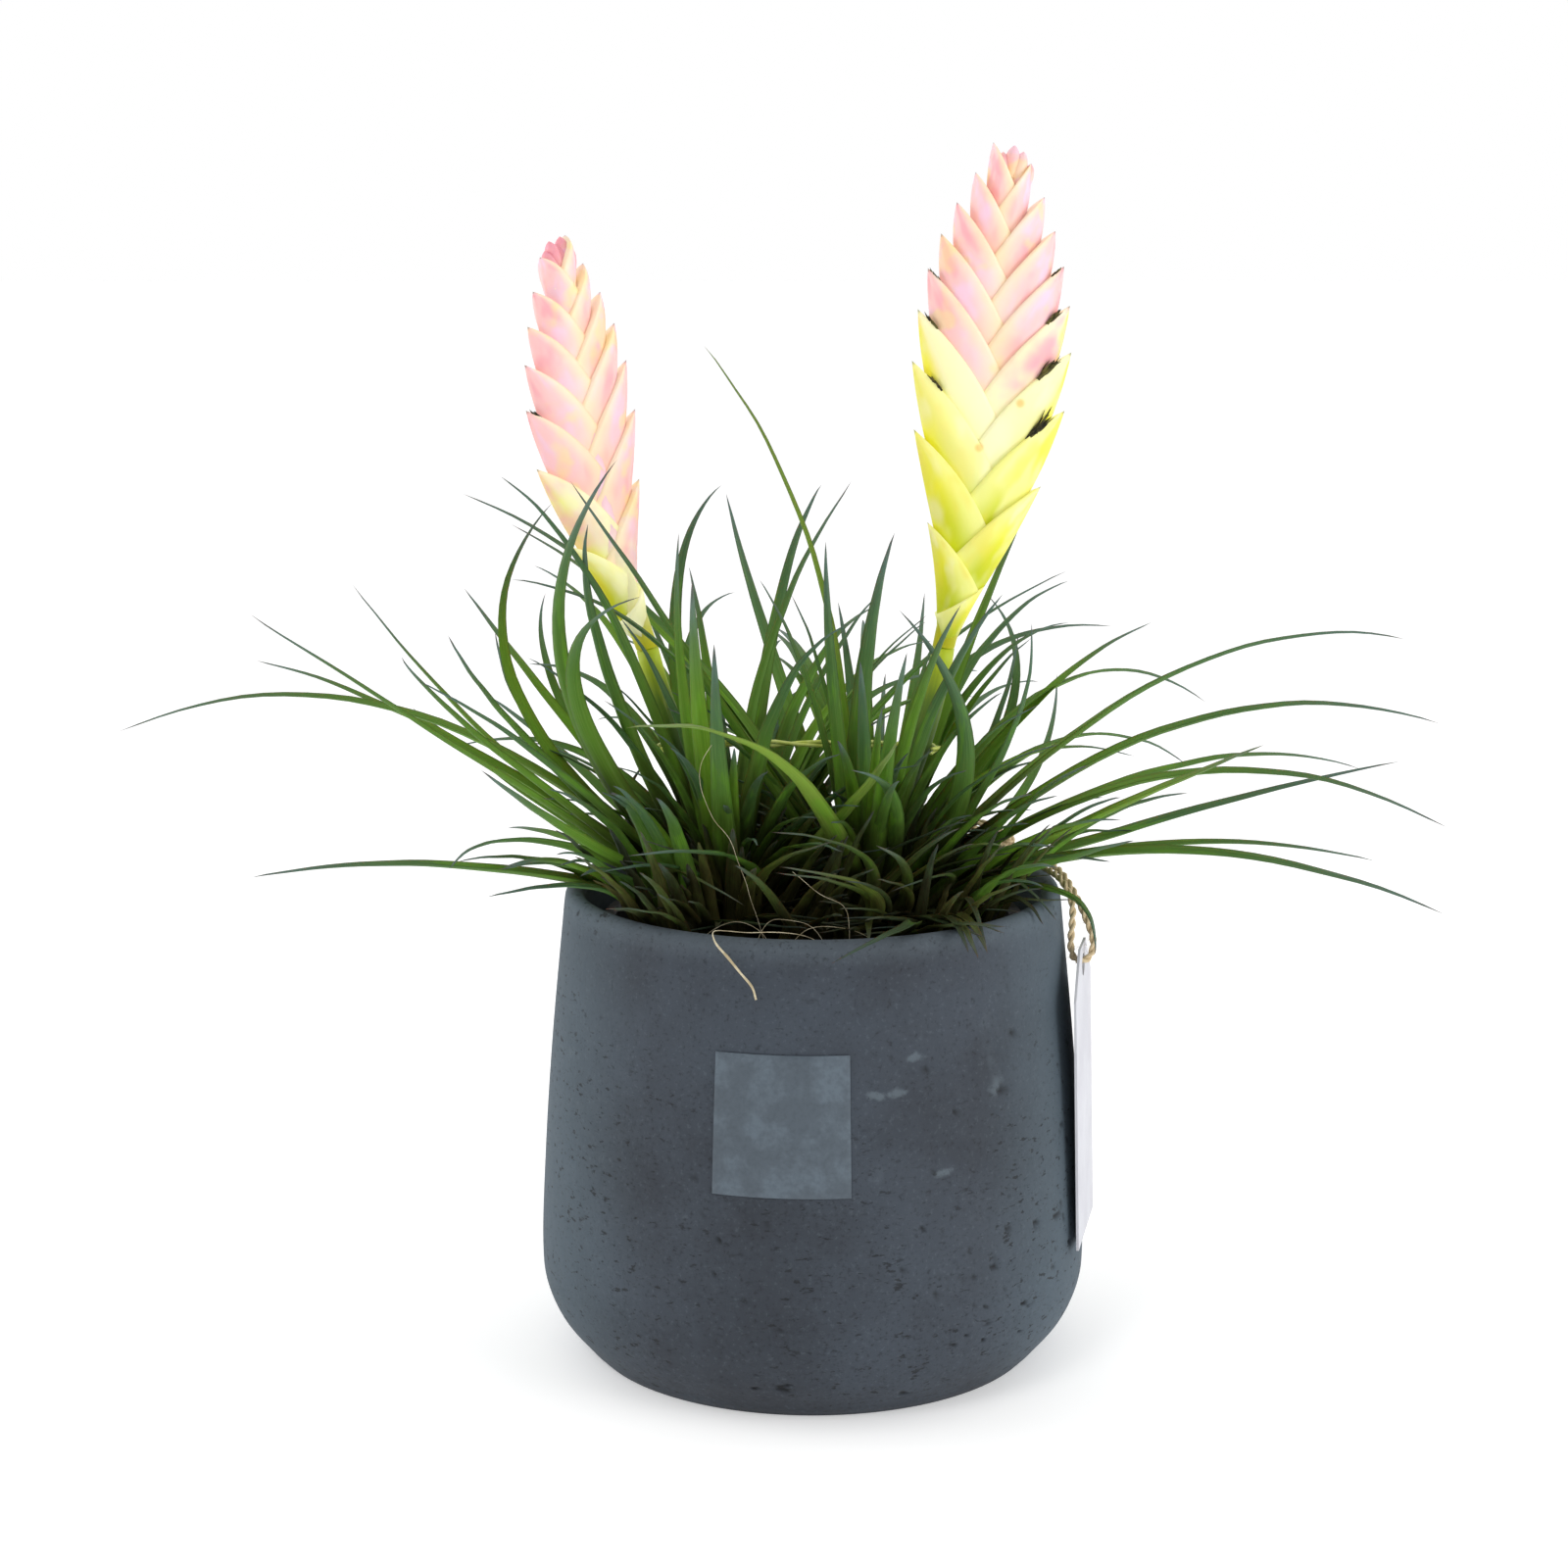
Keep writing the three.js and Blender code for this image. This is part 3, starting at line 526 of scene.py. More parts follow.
@dataclass(frozen=True)
class PlainFinish(Finish):
    """A small piece's finish: two colours that drift into each other, with fine relief."""

    slot: str
    first: str
    second: str
    scale: float
    roughness: float
    relief: float
    relief_scale: float = 600.0

    def build(self, graph: Graph) -> bpy.types.Material:
        """Builds the material's nodes."""
        at = graph.place()
        drift = graph.step(graph.cloud(at, self.scale, 4, 0.6), 0.35, 0.68)
        colour = graph.mix(drift, self.first, self.second)
        fine = graph.cloud(at, self.relief_scale, 3, 0.65)
        return graph.finish(
            {
                "Base Color": colour,
                "Roughness": self.roughness + 0.12 * (fine - 0.5),
                "Normal": graph.bump(fine, self.relief, 0.7),
            }
        )


@dataclass(frozen=True)
class JuteFinish(Finish):
    """Jute yarn: straw-coloured fibres laid along each ply, in lighter and darker streaks."""

    slot: ClassVar[str] = "jute_twine"

    def build(self, graph: Graph) -> bpy.types.Material:
        """Builds the material's nodes."""
        along, across = graph.mark("along"), graph.mark("across")
        fibre = graph.cloud(graph.stretched(across * 5.0, along * 90.0), 1.5, 4, 0.7)
        stops = [(0.25, "#9a8462"), (0.45, "#d2bb93"), (0.62, "#e8d6b6"), (0.8, "#f6ebd2")]
        colour = graph.ramp(fibre, stops)
        return graph.finish(
            {"Base Color": colour, "Roughness": 0.92, "Normal": graph.bump(fibre, 0.15 * MM, 0.8)}
        )


# Meshes

Dot = tuple[Vector, dict[str, float]]


def set_mark(piece: bpy.types.Object, name: str, values: Sequence[float]) -> None:
    """Gives a piece a number at each of its points, for its finish to read."""
    piece.data.attributes.new(name, "FLOAT", "POINT").data.foreach_set("value", values)


@dataclass
class Skin:
    """A piece while it is built: its points and faces, and marks at each point for its finish."""

    name: str
    points: list[Vector] = field(default_factory=list)
    faces: list[tuple[int, ...]] = field(default_factory=list)
    marks: dict[str, list[float]] = field(default_factory=dict)

    def _put(self, dot: Dot) -> int:
        """Adds a point with its marks and returns its number."""
        point, marks = dot
        for name, value in marks.items():
            self.marks.setdefault(name, []).append(value)
        self.points.append(point)
        return len(self.points) - 1

    def loft(self, rings: Sequence[Sequence[Dot]], tip: Dot | None = None) -> None:
        """Skins closed rings that turn right-handed about the way they travel, and closes both ends.

        Args:
            rings: Rings with the same number of dots.
            tip: The point that the last ring runs into. Without it that ring is closed flat.
        """
        first, size = len(self.points), len(rings[0])
        for ring in rings:
            for dot in ring:
                self._put(dot)
        for k, i in product(range(len(rings) - 1), range(size)):
            a = first + k * size + i
            b = first + k * size + (i + 1) % size
            self.faces.append((a, b, b + size, a + size))
        self.faces.append(tuple(first + i for i in reversed(range(size))))
        last = first + (len(rings) - 1) * size
        if tip is None:
            self.faces.append(tuple(last + i for i in range(size)))
            return
        apex = self._put(tip)
        for i in range(size):
            self.faces.append((last + i, last + (i + 1) % size, apex))

    def piece(self) -> bpy.types.Object:
        """Makes the object, with smooth shading and its marks as attributes."""
        mesh = bpy.data.meshes.new(self.name)
        mesh.from_pydata(self.points, [], self.faces)
        mesh.shade_smooth()
        made = bpy.data.objects.new(self.name, mesh)
        for name, values in self.marks.items():
            set_mark(made, name, values)
        bpy.context.scene.collection.objects.link(made)
        return made


def select_only(piece: bpy.types.Object) -> None:
    """Selects one object and makes it the active one."""
    bpy.ops.object.select_all(action="DESELECT")
    piece.select_set(True)
    bpy.context.view_layer.objects.active = piece


def apply_modifier(piece: bpy.types.Object, kind: str, **settings: Any) -> None:
    """Adds a modifier with its settings and applies it."""
    select_only(piece)
    added = piece.modifiers.new(kind.title(), kind)
    for name, value in settings.items():
        setattr(added, name, value)
    bpy.ops.object.modifier_apply(modifier=added.name)


def smooth_by_angle(piece: bpy.types.Object, degrees: float = 35) -> None:
    """Shades a piece smooth, but keeps its sharp edges."""
    select_only(piece)
    bpy.ops.object.shade_smooth_by_angle(angle=math.radians(degrees))


def spun(name: str, outline: Outline, steps: int) -> bpy.types.Object:
    """Draws an outline by extruding one point, and spins it once round the Z axis.

    Args:
        name: The object's name.
        outline: Radius and height of each point, from axis to axis.
        steps: Number of steps round.

    Returns:
        A closed body.
    """
    bpy.ops.object.select_all(action="DESELECT")
    bpy.ops.mesh.primitive_plane_add(size=MM)
    made = bpy.context.object
    made.name = name
    bpy.ops.object.mode_set(mode="EDIT")
    bpy.ops.mesh.select_mode(type="VERT")
    bpy.ops.mesh.merge(type="CENTER")
    bpy.ops.transform.translate(value=(outline[0][0], 0, outline[0][1]))
    for (radius, height), (next_radius, next_height) in pairwise(outline):
        way = (next_radius - radius, 0, next_height - height)
        bpy.ops.mesh.extrude_vertices_move(TRANSFORM_OT_translate={"value": way})
    bpy.ops.mesh.select_all(action="SELECT")
    bpy.ops.mesh.spin(steps=steps, angle=TURN, center=(0, 0, 0), axis=(0, 0, 1))
    bpy.ops.mesh.select_all(action="SELECT")
    bpy.ops.mesh.remove_doubles(threshold=1e-6)
    bpy.ops.mesh.normals_make_consistent(inside=False)
    bpy.ops.object.mode_set(mode="OBJECT")
    return made


def smooth_curve(points: Sequence[Vector], steps: int) -> list[Vector]:
    """Runs a centripetal Catmull-Rom curve through the points.

    Args:
        points: At least two points.
        steps: Number of steps over the whole curve.

    Returns:
        One point more than there are steps.
    """
    padded = [2 * points[0] - points[1], *points, 2 * points[-1] - points[-2]]
    spans = len(points) - 1
    path = []
    for step in range(steps + 1):
        place = spans * step / steps
        start = min(int(place), spans - 1)
        share = place - start
        a, b, c, d = padded[start : start + 4]
        before, within, after = ((q - p).length ** 0.5 for p, q in pairwise((a, b, c, d)))
        leave = ((b - a) / before - (c - a) / (before + within)) * within + (c - b)
        arrive = (c - b) + ((d - c) / after - (d - b) / (within + after)) * within
        square, cube = share**2, share**3
        path.append(
            b * (2 * cube - 3 * square + 1)
            + leave * (cube - 2 * square + share)
            + c * (3 * square - 2 * cube)
            + arrive * (cube - square)
        )
    return path


def in_metres(route: Route) -> list[Vector]:
    """Turns points given in millimetres into vectors in metres."""
    return [Vector(point) * MM for point in route]


def circle(centre: Vector, radius: float, sides: int) -> list[Vector]:
    """Even points round an upright axis."""
    angles = [TURN * i / sides for i in range(sides)]
    return [centre + Vector((radius * math.cos(a), radius * math.sin(a), 0)) for a in angles]


def path_length(path: Sequence[Vector]) -> float:
    """The length of a run of points."""
    return sum((b - a).length for a, b in pairwise(path))


@dataclass(frozen=True)
class Station:
    """A place along a path: how far along it lies, and the path's own axes there."""

    distance: float
    centre: Vector
    normal: Vector
    binormal: Vector

    def out(self, angle: float, radius: float) -> Vector:
        """The point at that angle and radius round the path."""
        return self.centre + radius * (math.cos(angle) * self.normal + math.sin(angle) * self.binormal)


def stations(path: Sequence[Vector]) -> list[Station]:
    """Carries a pair of axes along a path without twist.

    Args:
        path: Points, close together.

    Returns:
        A station at each point.
    """
    tangents = [(q - p).normalized() for p, q in zip([path[0], *path[:-1]], [*path[1:], path[-1]])]
    normal = tangents[0].orthogonal().normalized()
    distance, found = 0.0, []
    for k, (centre, tangent) in enumerate(zip(path, tangents)):
        if k:
            normal = tangents[k - 1].rotation_difference(tangent) @ normal
            distance += (centre - path[k - 1]).length
        normal = (normal - tangent * normal.dot(tangent)).normalized()
        found.append(Station(distance, centre, normal, tangent.cross(normal)))
    return found


def add_strand(
    skin: Skin,
    path: Sequence[Vector],
    radius: Callable[[float], float],
    sides: int,
    tone: float = 0.5,
    offset: float = 0.0,
    pitch: float = 1.0,
    phase: float = 0.0,
) -> None:
    """Adds a round strand along a path, or one ply of a twisted cord round it.

    Args:
        skin: What the strand is added to.
        path: The middle line.
        radius: The strand's radius by its share of the length, from 0 to 1.
        sides: Number of sides.
        tone: A number for the finish.
        offset: How far the strand's own middle lies from the path.
        pitch: The length of one turn round the path.
        phase: Where that turn starts.
    """
    line = stations(path)
    if offset:
        line = stations([s.out(phase + TURN * s.distance / pitch, offset) for s in line])
    total = line[-1].distance
    rings = [
        [
            (
                station.out(TURN * i / sides, radius(station.distance / total)),
                {"along": station.distance, "across": abs(2 * i / sides - 1), "tone": tone},
            )
            for i in range(sides)
        ]
        for station in line
    ]
    skin.loft(rings)


class SubAssembly:
    """Pieces that belong together. They all ride on the part's one body."""

    def keep(self, piece: bpy.types.Object, finish: Finish, *nodes: str) -> bpy.types.Object:
        """Dresses a finished piece and puts it in the part.

        Args:
            piece: The mesh object.
            finish: Its surface.
            nodes: The solids that it stands for.

        Returns:
            The piece.
        """
        piece.data.materials.clear()
        piece.data.materials.append(finish.material())
        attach(piece, BODY)
        if nodes:
            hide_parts(*nodes)
        log.info("%s: %d faces, finish %s", piece.name, len(piece.data.polygons), finish.slot)
        return piece


# The pot, its label and what stands inside it


@dataclass
class Pot(SubAssembly):
    """The round pot: a thick wall that leans in from a low belly to a rounded rim."""

    height: float = 112 * MM
    rim_radius: float = 58.7 * MM
    belly_radius: float = 65 * MM
    belly_height: float = 24 * MM
    foot_radius: float = 54 * MM
    wall: float = 5 * MM
    floor: float = 8 * MM
    sides: int = 400
    wall_steps: int = 140
    pit_depth: float = 0.6 * MM
    pits_from: float = 1 * MM
    pits_to: float = 106 * MM
    lip_rise: float = 4 * MM
    lip_inside: float = 40 * MM
    holes: tuple[tuple[float, float, float], ...] = (
        (42.7 * MM, 74.5 * MM, 1.7 * MM), (45 * MM, 86.8 * MM, 1.3 * MM),
        (32 * MM, 71.5 * MM, 1.1 * MM), (25 * MM, 81.9 * MM, 0.9 * MM),
    )

    def wall_outline(self, steps: int) -> list[tuple[float, float]]:
        """Radius and height down the outside of the wall, from the foot to below the lip."""
        marks = [
            (self.foot_radius + 1.6 * MM, 2.2 * MM),
            (61.4 * MM, 9.5 * MM),
            (64.4 * MM, 17 * MM),
            (self.belly_radius, self.belly_height),
            (64 * MM, 48 * MM),
            (62 * MM, 75 * MM),
            (self.rim_radius, 108 * MM),
        ]
        curve = smooth_curve([Vector((radius, 0, height)) for radius, height in marks], steps)
        return [(point.x, point.z) for point in curve]

    def radius_at(self, height: float) -> float:
        """The outside radius at a height on the wall."""
        outline = self.wall_outline(240)
        below, above = next((p, q) for p, q in pairwise(outline) if q[1] >= height)
        share = (height - below[1]) / (above[1] - below[1])
        return below[0] + share * (above[0] - below[0])

    def outline(self) -> list[tuple[float, float]]:
        """The whole section, from the middle of the foot, over the rim, to the middle of the floor."""
        inner = self.rim_radius - self.wall
        lip = [
            (self.rim_radius - 0.25 * MM, 109.8 * MM),
            (self.rim_radius - 0.7 * MM, 111 * MM),
            (self.rim_radius - 1.35 * MM, 111.7 * MM),
            (self.rim_radius - 2.2 * MM, self.height),
            (self.rim_radius - 3 * MM, self.height - 0.05 * MM),
            (inner + 1.3 * MM, self.height - 0.3 * MM),
            (inner + 0.5 * MM, self.height - 1.1 * MM),
            (inner, 109.5 * MM),
        ]
        inside = [(inner + 1.4 * MM, 86 * MM), (inner + 3 * MM, 60 * MM), (inner + 4 * MM, 26 * MM)]
        bottom = [(inner - 4 * MM, 12 * MM), (inner - 14 * MM, self.floor), (0, self.floor)]
        foot = [(0, 0), (self.foot_radius - 6 * MM, 0), (self.foot_radius - 0.6 * MM, 0)]
        return [*foot, *self.wall_outline(self.wall_steps), *lip, *inside, *bottom]

    def pit_at(self, point: Vector) -> float:
        """How deep the surface is pitted at a point, from 0 to 1. Pits lie low and to the right."""
        for x, z, size in self.holes:
            away = math.hypot(point.x - x, 1.5 * (point.z - z)) / size + 0.8 * noise.noise(point * 700)
            if point.y < 0 and away < 1:
                return min(1.0, 1.6 * (1 - away))
        height = point.z / self.height
        patchy = noise.noise(point * 26 + Vector((3.1, 7.7, 0.4))) + 0.35 * point.x / self.belly_radius
        reach = patchy - 0.75 * height + 0.18
        if reach < 0 or height > 0.93:
            return 0.0
        squashed = Vector((point.x, point.y, 1.5 * point.z))
        hole = noise.noise(squashed * 270) + 0.45 * noise.noise(squashed * 610)
        return min(1.0, max(0.0, (hole - 0.62 + 0.18 * min(reach, 1)) / 0.2))

    def build(self) -> None:
        """Spins the pot, sinks its pits and marks its lip."""
        pot = spun("pot_body", self.outline(), self.sides)
        lip, pit = [], []
        for vertex in pot.data.vertices:
            point = vertex.co.copy()
            radius = math.hypot(point.x, point.y)
            outside = radius > self.foot_radius and self.pits_from < point.z < self.pits_to
            depth = self.pit_at(point) if outside else 0.0
            if depth:
                inwards = 1 - depth * self.pit_depth / radius
                vertex.co = (point.x * inwards, point.y * inwards, point.z)
            pit.append(depth)
            risen = max(0.0, min(1.0, (point.z - self.pits_to) / self.lip_rise))
            lip.append(risen if radius > self.lip_inside else 0.0)
        set_mark(pot, "pit", pit)
        set_mark(pot, "lip", lip)
        smooth_by_angle(pot, 50)
        self.keep(pot, StoneFinish(), "pot")


@dataclass
class Label(SubAssembly):
    """The bare square of film on the front of the pot, bent round the wall."""

    pot: Pot
    size: float = 32 * MM
    thickness: float = 0.25 * MM
    height: float = 71 * MM
    bearing: float = math.radians(-6.4)
    lift: float = 0.1 * MM
    divisions: int = 24

    def build(self) -> None:
        """Adds a square, wraps it on the wall and gives it its thickness."""
        bpy.ops.object.select_all(action="DESELECT")
        bpy.ops.mesh.primitive_grid_add(
            x_subdivisions=self.divisions, y_subdivisions=self.divisions, size=self.size
        )
        label = bpy.context.object
        label.name = "label_film"
        for vertex in label.data.vertices:
            height = self.height + vertex.co.y
            radius = self.pot.radius_at(height) + self.lift
            bearing = self.bearing + vertex.co.x / self.pot.belly_radius
            vertex.co = (radius * math.sin(bearing), -radius * math.cos(bearing), height)
        apply_modifier(label, "SOLIDIFY", thickness=self.thickness, offset=1.0)
        apply_modifier(label, "BEVEL", width=0.08 * MM, segments=2, limit_method="ANGLE")
        smooth_by_angle(label)
        self.keep(label, LabelFinish(), "label")


@dataclass
class GrowPot(SubAssembly):
    """The black nursery pot that the plants grow in, which hangs hidden inside the stone pot."""

    radius: float = 50.5 * MM
    base_radius: float = 37 * MM
    wall: float = 1.2 * MM
    lip: float = 2.4 * MM
    lip_height: float = 5 * MM
    top: float = 104 * MM
    foot: float = 8.3 * MM
    hole_radius: float = 4 * MM
    hole_circle: float = 24 * MM
    holes: int = 4
    sides: int = 96

    def build(self) -> None:
        """Spins the wall with its rolled rim and drills the drain holes."""
        under = self.top - self.lip_height
        inside_top = self.radius - self.lip - self.wall
        outline = [
            (0, self.foot),
            (self.base_radius - 1.5 * MM, self.foot),
            (self.base_radius, self.foot + 1.5 * MM),
            (self.radius - self.lip, under),
            (self.radius - 0.4 * MM, under),
            (self.radius, under + 0.4 * MM),
            (self.radius, self.top - 0.8 * MM),
            (self.radius - 0.8 * MM, self.top),
            (inside_top + 0.6 * MM, self.top),
            (inside_top, self.top - 0.6 * MM),
            (self.base_radius - self.wall, self.foot + self.wall),
            (0, self.foot + self.wall),
        ]
        pot = spun("grow_pot_shell", outline, self.sides)
        for place in circle(self.foot * UP, self.hole_circle, self.holes):
            bpy.ops.object.select_all(action="DESELECT")
            bpy.ops.mesh.primitive_cylinder_add(
                vertices=32, radius=self.hole_radius, depth=4 * self.wall, location=place
            )
            drill = bpy.context.object
            apply_modifier(pot, "BOOLEAN", operation="DIFFERENCE", object=drill, solver="EXACT")
            bpy.data.objects.remove(drill)
        smooth_by_angle(pot)
        self.keep(pot, GrowPotFinish(), "grow_pot")


@dataclass
class BarkBed(SubAssembly):
    """The potting bark: a lumpy bed, with loose chips all over its top."""

    level: float = 100 * MM
    foot: float = 9.8 * MM
    foot_radius: float = 35.2 * MM
    top_radius: float = 45.2 * MM
    sides: int = 96
    chips: int = 420
    chip_size: float = 3.6 * MM
    seed: int = 11

    def _bed(self) -> bpy.types.Object:
        """The bed's body, with its top raised into lumps."""
        rings = [self.top_radius * (1 - k / 22) for k in range(22)]
        outline = [(0, self.foot), (self.foot_radius, self.foot)]
        outline += [(radius, self.level - 1.2 * MM) for radius in rings] + [(0, self.level - 1.2 * MM)]
        bed = spun("bark_bed", outline, self.sides)
        for vertex in bed.data.vertices:
            if vertex.co.z > self.level - 2 * MM:
                coarse, fine = noise.noise(vertex.co * 170), noise.noise(vertex.co * 420)
                vertex.co.z += 1.3 * MM * coarse + 0.8 * MM * fine
        tones = [0.5 + 0.5 * noise.noise(vertex.co * 300) for vertex in bed.data.vertices]
        set_mark(bed, "tone", tones)
        smooth_by_angle(bed, 60)
        return bed

    def _chip(self) -> bpy.types.Object:
        """One bark chip: a cube cut up, roughened and worn at its edges."""
        bpy.ops.object.select_all(action="DESELECT")
        bpy.ops.mesh.primitive_cube_add(size=self.chip_size)
        chip = bpy.context.object
        bpy.ops.object.mode_set(mode="EDIT")
        bpy.ops.mesh.subdivide(number_cuts=1)
        bpy.ops.transform.resize(value=(1.0, 0.62, 0.36))
        bpy.ops.transform.vertex_random(offset=0.5 * MM, seed=self.seed)
        bpy.ops.object.mode_set(mode="OBJECT")
        return chip

    def build(self, crowns: Sequence[tuple[float, float]], crown_radius: float) -> None:
        """Lays the bed and scatters the chips clear of the plants' crowns.

        Args:
            crowns: Where each plant stands.
            crown_radius: How much room it takes.
        """
        bed = self._bed()
        draw = Random(self.seed)
        pattern = self._chip()
        copies = [pattern]
        while len(copies) < self.chips:
            reach = (self.top_radius - 2.5 * MM) * math.sqrt(draw.random())
            bearing = TURN * draw.random()
            x, y = reach * math.cos(bearing), reach * math.sin(bearing)
            if any(math.hypot(x - cx, y - cy) < crown_radius for cx, cy in crowns):
                continue
            chip = bpy.data.objects.new("chip", pattern.data.copy())
            bpy.context.scene.collection.objects.link(chip)
            size = draw.uniform(0.5, 1.5)
            turn = Matrix.Rotation(draw.uniform(0, TURN), 4, "Z")
            tilt = Matrix.Rotation(draw.uniform(-0.6, 0.6), 4, "X")
            lay = Matrix.Translation((x, y, self.level - 0.9 * MM + draw.uniform(0, 1.2) * MM))
            shape = Matrix.Diagonal((size, size * draw.uniform(0.6, 1.2), size, 1))
            chip.data.transform(lay @ turn @ tilt @ shape)
            set_mark(chip, "tone", [draw.random()] * len(chip.data.vertices))
            copies.append(chip)
        bpy.data.objects.remove(copies.pop(0))
        select_only(bed)
        for chip in copies:
            chip.select_set(True)
        bpy.ops.object.join()
        self.keep(bed, BarkFinish(), "potting_bark")


# Leaves. Each row is given in millimetres: tip across, tip up, middle across, middle up, depth of
# the tip, width at the base. Across and up are read in the upright plane through the pot's axis.

LEFT_LEAVES = [
    (-163, 148, -94, 152, 12, 8),
    (-131, 176, -79, 141, -35, 9),
    (-130, 165, -85, 146, 45, 7),
    (-107, 183, -69, 139, 40, 8),
    (-96, 166, -73, 142, -60, 7),
    (-94, 154, -62, 129, 70, 7),
    (-92, 160, -61, 139, -55, 8),
    (-85, 171, -65, 143, -45, 11),
    (-81, 182, -57, 149, 55, 7),
    (-74, 172, -61, 142, 75, 8),
    (-60, 202, -70, 158, 25, 8),
    (-77, 157, -55, 139, 85, 6),
    (-45, 212, -58, 160, -55, 9),
    (-52, 197, -48, 160, -30, 9),
    (-62, 181, -57, 151, 60, 6),
    (-40, 180, -55, 154, -70, 9),
    (-72, 208, -46, 172, -40, 8),
    (-133, 113, -80, 115, -35, 10),
    (-86, 115, -62, 121, -75, 9),
    (-72, 125, -52, 120, 80, 8),
    (-78, 139, -52, 120, -85, 9),
    (-21, 206, -32, 172, 50, 7),
    (-31, 195, -30, 154, -45, 6),
    (-18, 181, -30, 160, 80, 6),
    (9, 207, -12, 160, 30, 7),
    (2, 206, -9, 172, 60, 7),
    (9, 174, -9, 151, -60, 9),
    (-28, 184, -26, 145, -75, 10),
    (-23, 169, -22, 138, -85, 9),
    (59, 186, 17, 155, 40, 8),
    (20, 146, 7, 127, -56, 9),
]
RIGHT_LEAVES = [
    (-81, 204, -30, 167, 40, 8),
    (-70, 197, -25, 160, 55, 7),
    (-70, 184, -29, 162, -45, 8),
    (-56, 207, -22, 154, -40, 10),
    (-20, 204, -10, 167, 70, 7),
    (3, 193, 5, 154, -50, 7),
    (-25, 238, 2, 181, -6, 7),
    (19, 195, 12, 154, -30, 12),
    (26, 181, 22, 147, 80, 7),
    (22, 167, 17, 138, -80, 8),
    (17, 162, 15, 136, 90, 8),
    (-44, 149, -7, 139, -88, 10),
    (20, 177, 36, 140, -40, 10),
    (51, 204, 34, 160, 30, 9),
    (70, 173, 30, 158, 60, 8),
    (48, 172, 39, 140, 60, 6),
    (51, 174, 44, 140, -20, 11),
    (40, 181, 46, 151, 85, 6),
    (57, 162, 48, 131, 90, 6),
    (79, 174, 48, 150, 60, 7),
    (92, 155, 54, 157, 75, 7),
    (138, 170, 80, 159, 14, 9),
    (147, 150, 83, 148, -12, 9),
    (106, 145, 67, 127, -45, 12),
    (138, 141, 74, 124, 45, 9),
    (150, 125, 83, 137, -45, 9),
    (129, 139, 80, 138, 65, 7),
    (133, 117, 76, 120, -15, 8),
    (150, 104, 80, 119, -46, 10),
    (67, 94, 55, 110, -35, 10),
    (76, 122, 53, 115, -70, 8),
    (88, 140, 54, 144, 80, 7),
]


def repeatable(seed: int) -> Iterator[float]:
    """Endless repeatable numbers from 0 to 1, the same that place the solid leaves."""
    state = seed
    while True:
        state = (state * 1664525 + 1013904223) % 2**32
        yield state / 2**32


def bezier(points: Sequence[Vector], share: float) -> Vector:
    """A point on a Bezier curve of any degree."""
    while len(points) > 1:
        points = [a.lerp(b, share) for a, b in pairwise(points)]
    return points[0]


def bezier_tangent(points: Sequence[Vector], share: float) -> Vector:
    """The direction of a Bezier curve at a share of it."""
    return bezier([b - a for a, b in pairwise(points)], share).normalized()


@dataclass(frozen=True)
class LeafLay:
    """Where one leaf lies: its base, middle and tip, its width at the base and its twist."""

    base: Vector
    middle: Vector
    tip: Vector
    width: float
    twist: float
    dry: float = 0.0
    taper: float = 0.9
    risen: float = 0.0

    def spine(self) -> list[Vector]:
        """The three points of the curve that the leaf follows."""
        return [self.base, 2 * self.middle - 0.5 * self.base - 0.5 * self.tip, self.tip]

    def axes(self, share: float) -> tuple[Vector, Vector, Vector]:
        """The middle of the leaf at a share of its length, its sideways axis and its upper side."""
        spine = self.spine()
        tangent = bezier_tangent(spine, share)
        bearing = self.tip - self.base
        bearing.z = 0
        bearing.normalize()
        side = Vector((bearing.y, -bearing.x, 0))
        side.rotate(Matrix.Rotation(self.twist * share, 3, tangent))
        return bezier(spine, share), side, side.cross(tangent).normalized()


@dataclass(frozen=True)
class LeafRule:
    """Leaves that are placed by rule on one side of a plant. Lengths are in millimetres.

    Each range gives the least and the most. Bearings are in degrees, from the right and round by
    the back. The start is how far from the plant's heart a leaf rises, and where there is none the
    leaf rises from the crown. Dry and fresh say how much of it is straw, and how green its root is.
    """

    count: int
    reach: tuple[float, float]
    height: tuple[float, float]
    arch: float
    bearings: tuple[float, float] = (0, 360)
    width: tuple[float, float] = (7, 9)
    dry: float = 0.0
    taper: float = 0.9
    start: tuple[float, float] | None = None
    fresh: float = 0.0


FAR_LEAVES = LeafRule(count=12, bearings=(25, 155), reach=(62, 112), height=(24, 78), arch=16)
NEAR_LEAVES = LeafRule(count=6, bearings=(-160, -20), reach=(34, 56), height=(36, 84), arch=7)
HEART_LEAVES = LeafRule(count=12, reach=(18, 58), height=(34, 82), arch=7, width=(5, 7))
SHORT_LEAVES = LeafRule(count=20, reach=(24, 56), height=(16, 50), arch=7, width=(5, 7), dry=0.1)
FOOT_LEAVES = LeafRule(
    count=130, reach=(8, 36), height=(7, 36), arch=3, width=(4, 7.5), dry=0.5, taper=0.75, start=(6, 36)
)
FRONT_LEAVES = LeafRule(
    count=15, reach=(24, 50), height=(17, 46), arch=7, width=(7, 11), taper=0.85, start=(10, 30), fresh=0.8
)


def between(low: float, high: float, share: float) -> float:
    """The number at a share of the way from low to high."""
    return low + share * (high - low)


def length_between(ends: tuple[float, float], share: float) -> float:
    """The length in metres at a share of the way between two that are given in millimetres."""
    return between(MM * ends[0], MM * ends[1], share)


Lay = Callable[[float, float, float], LeafLay]


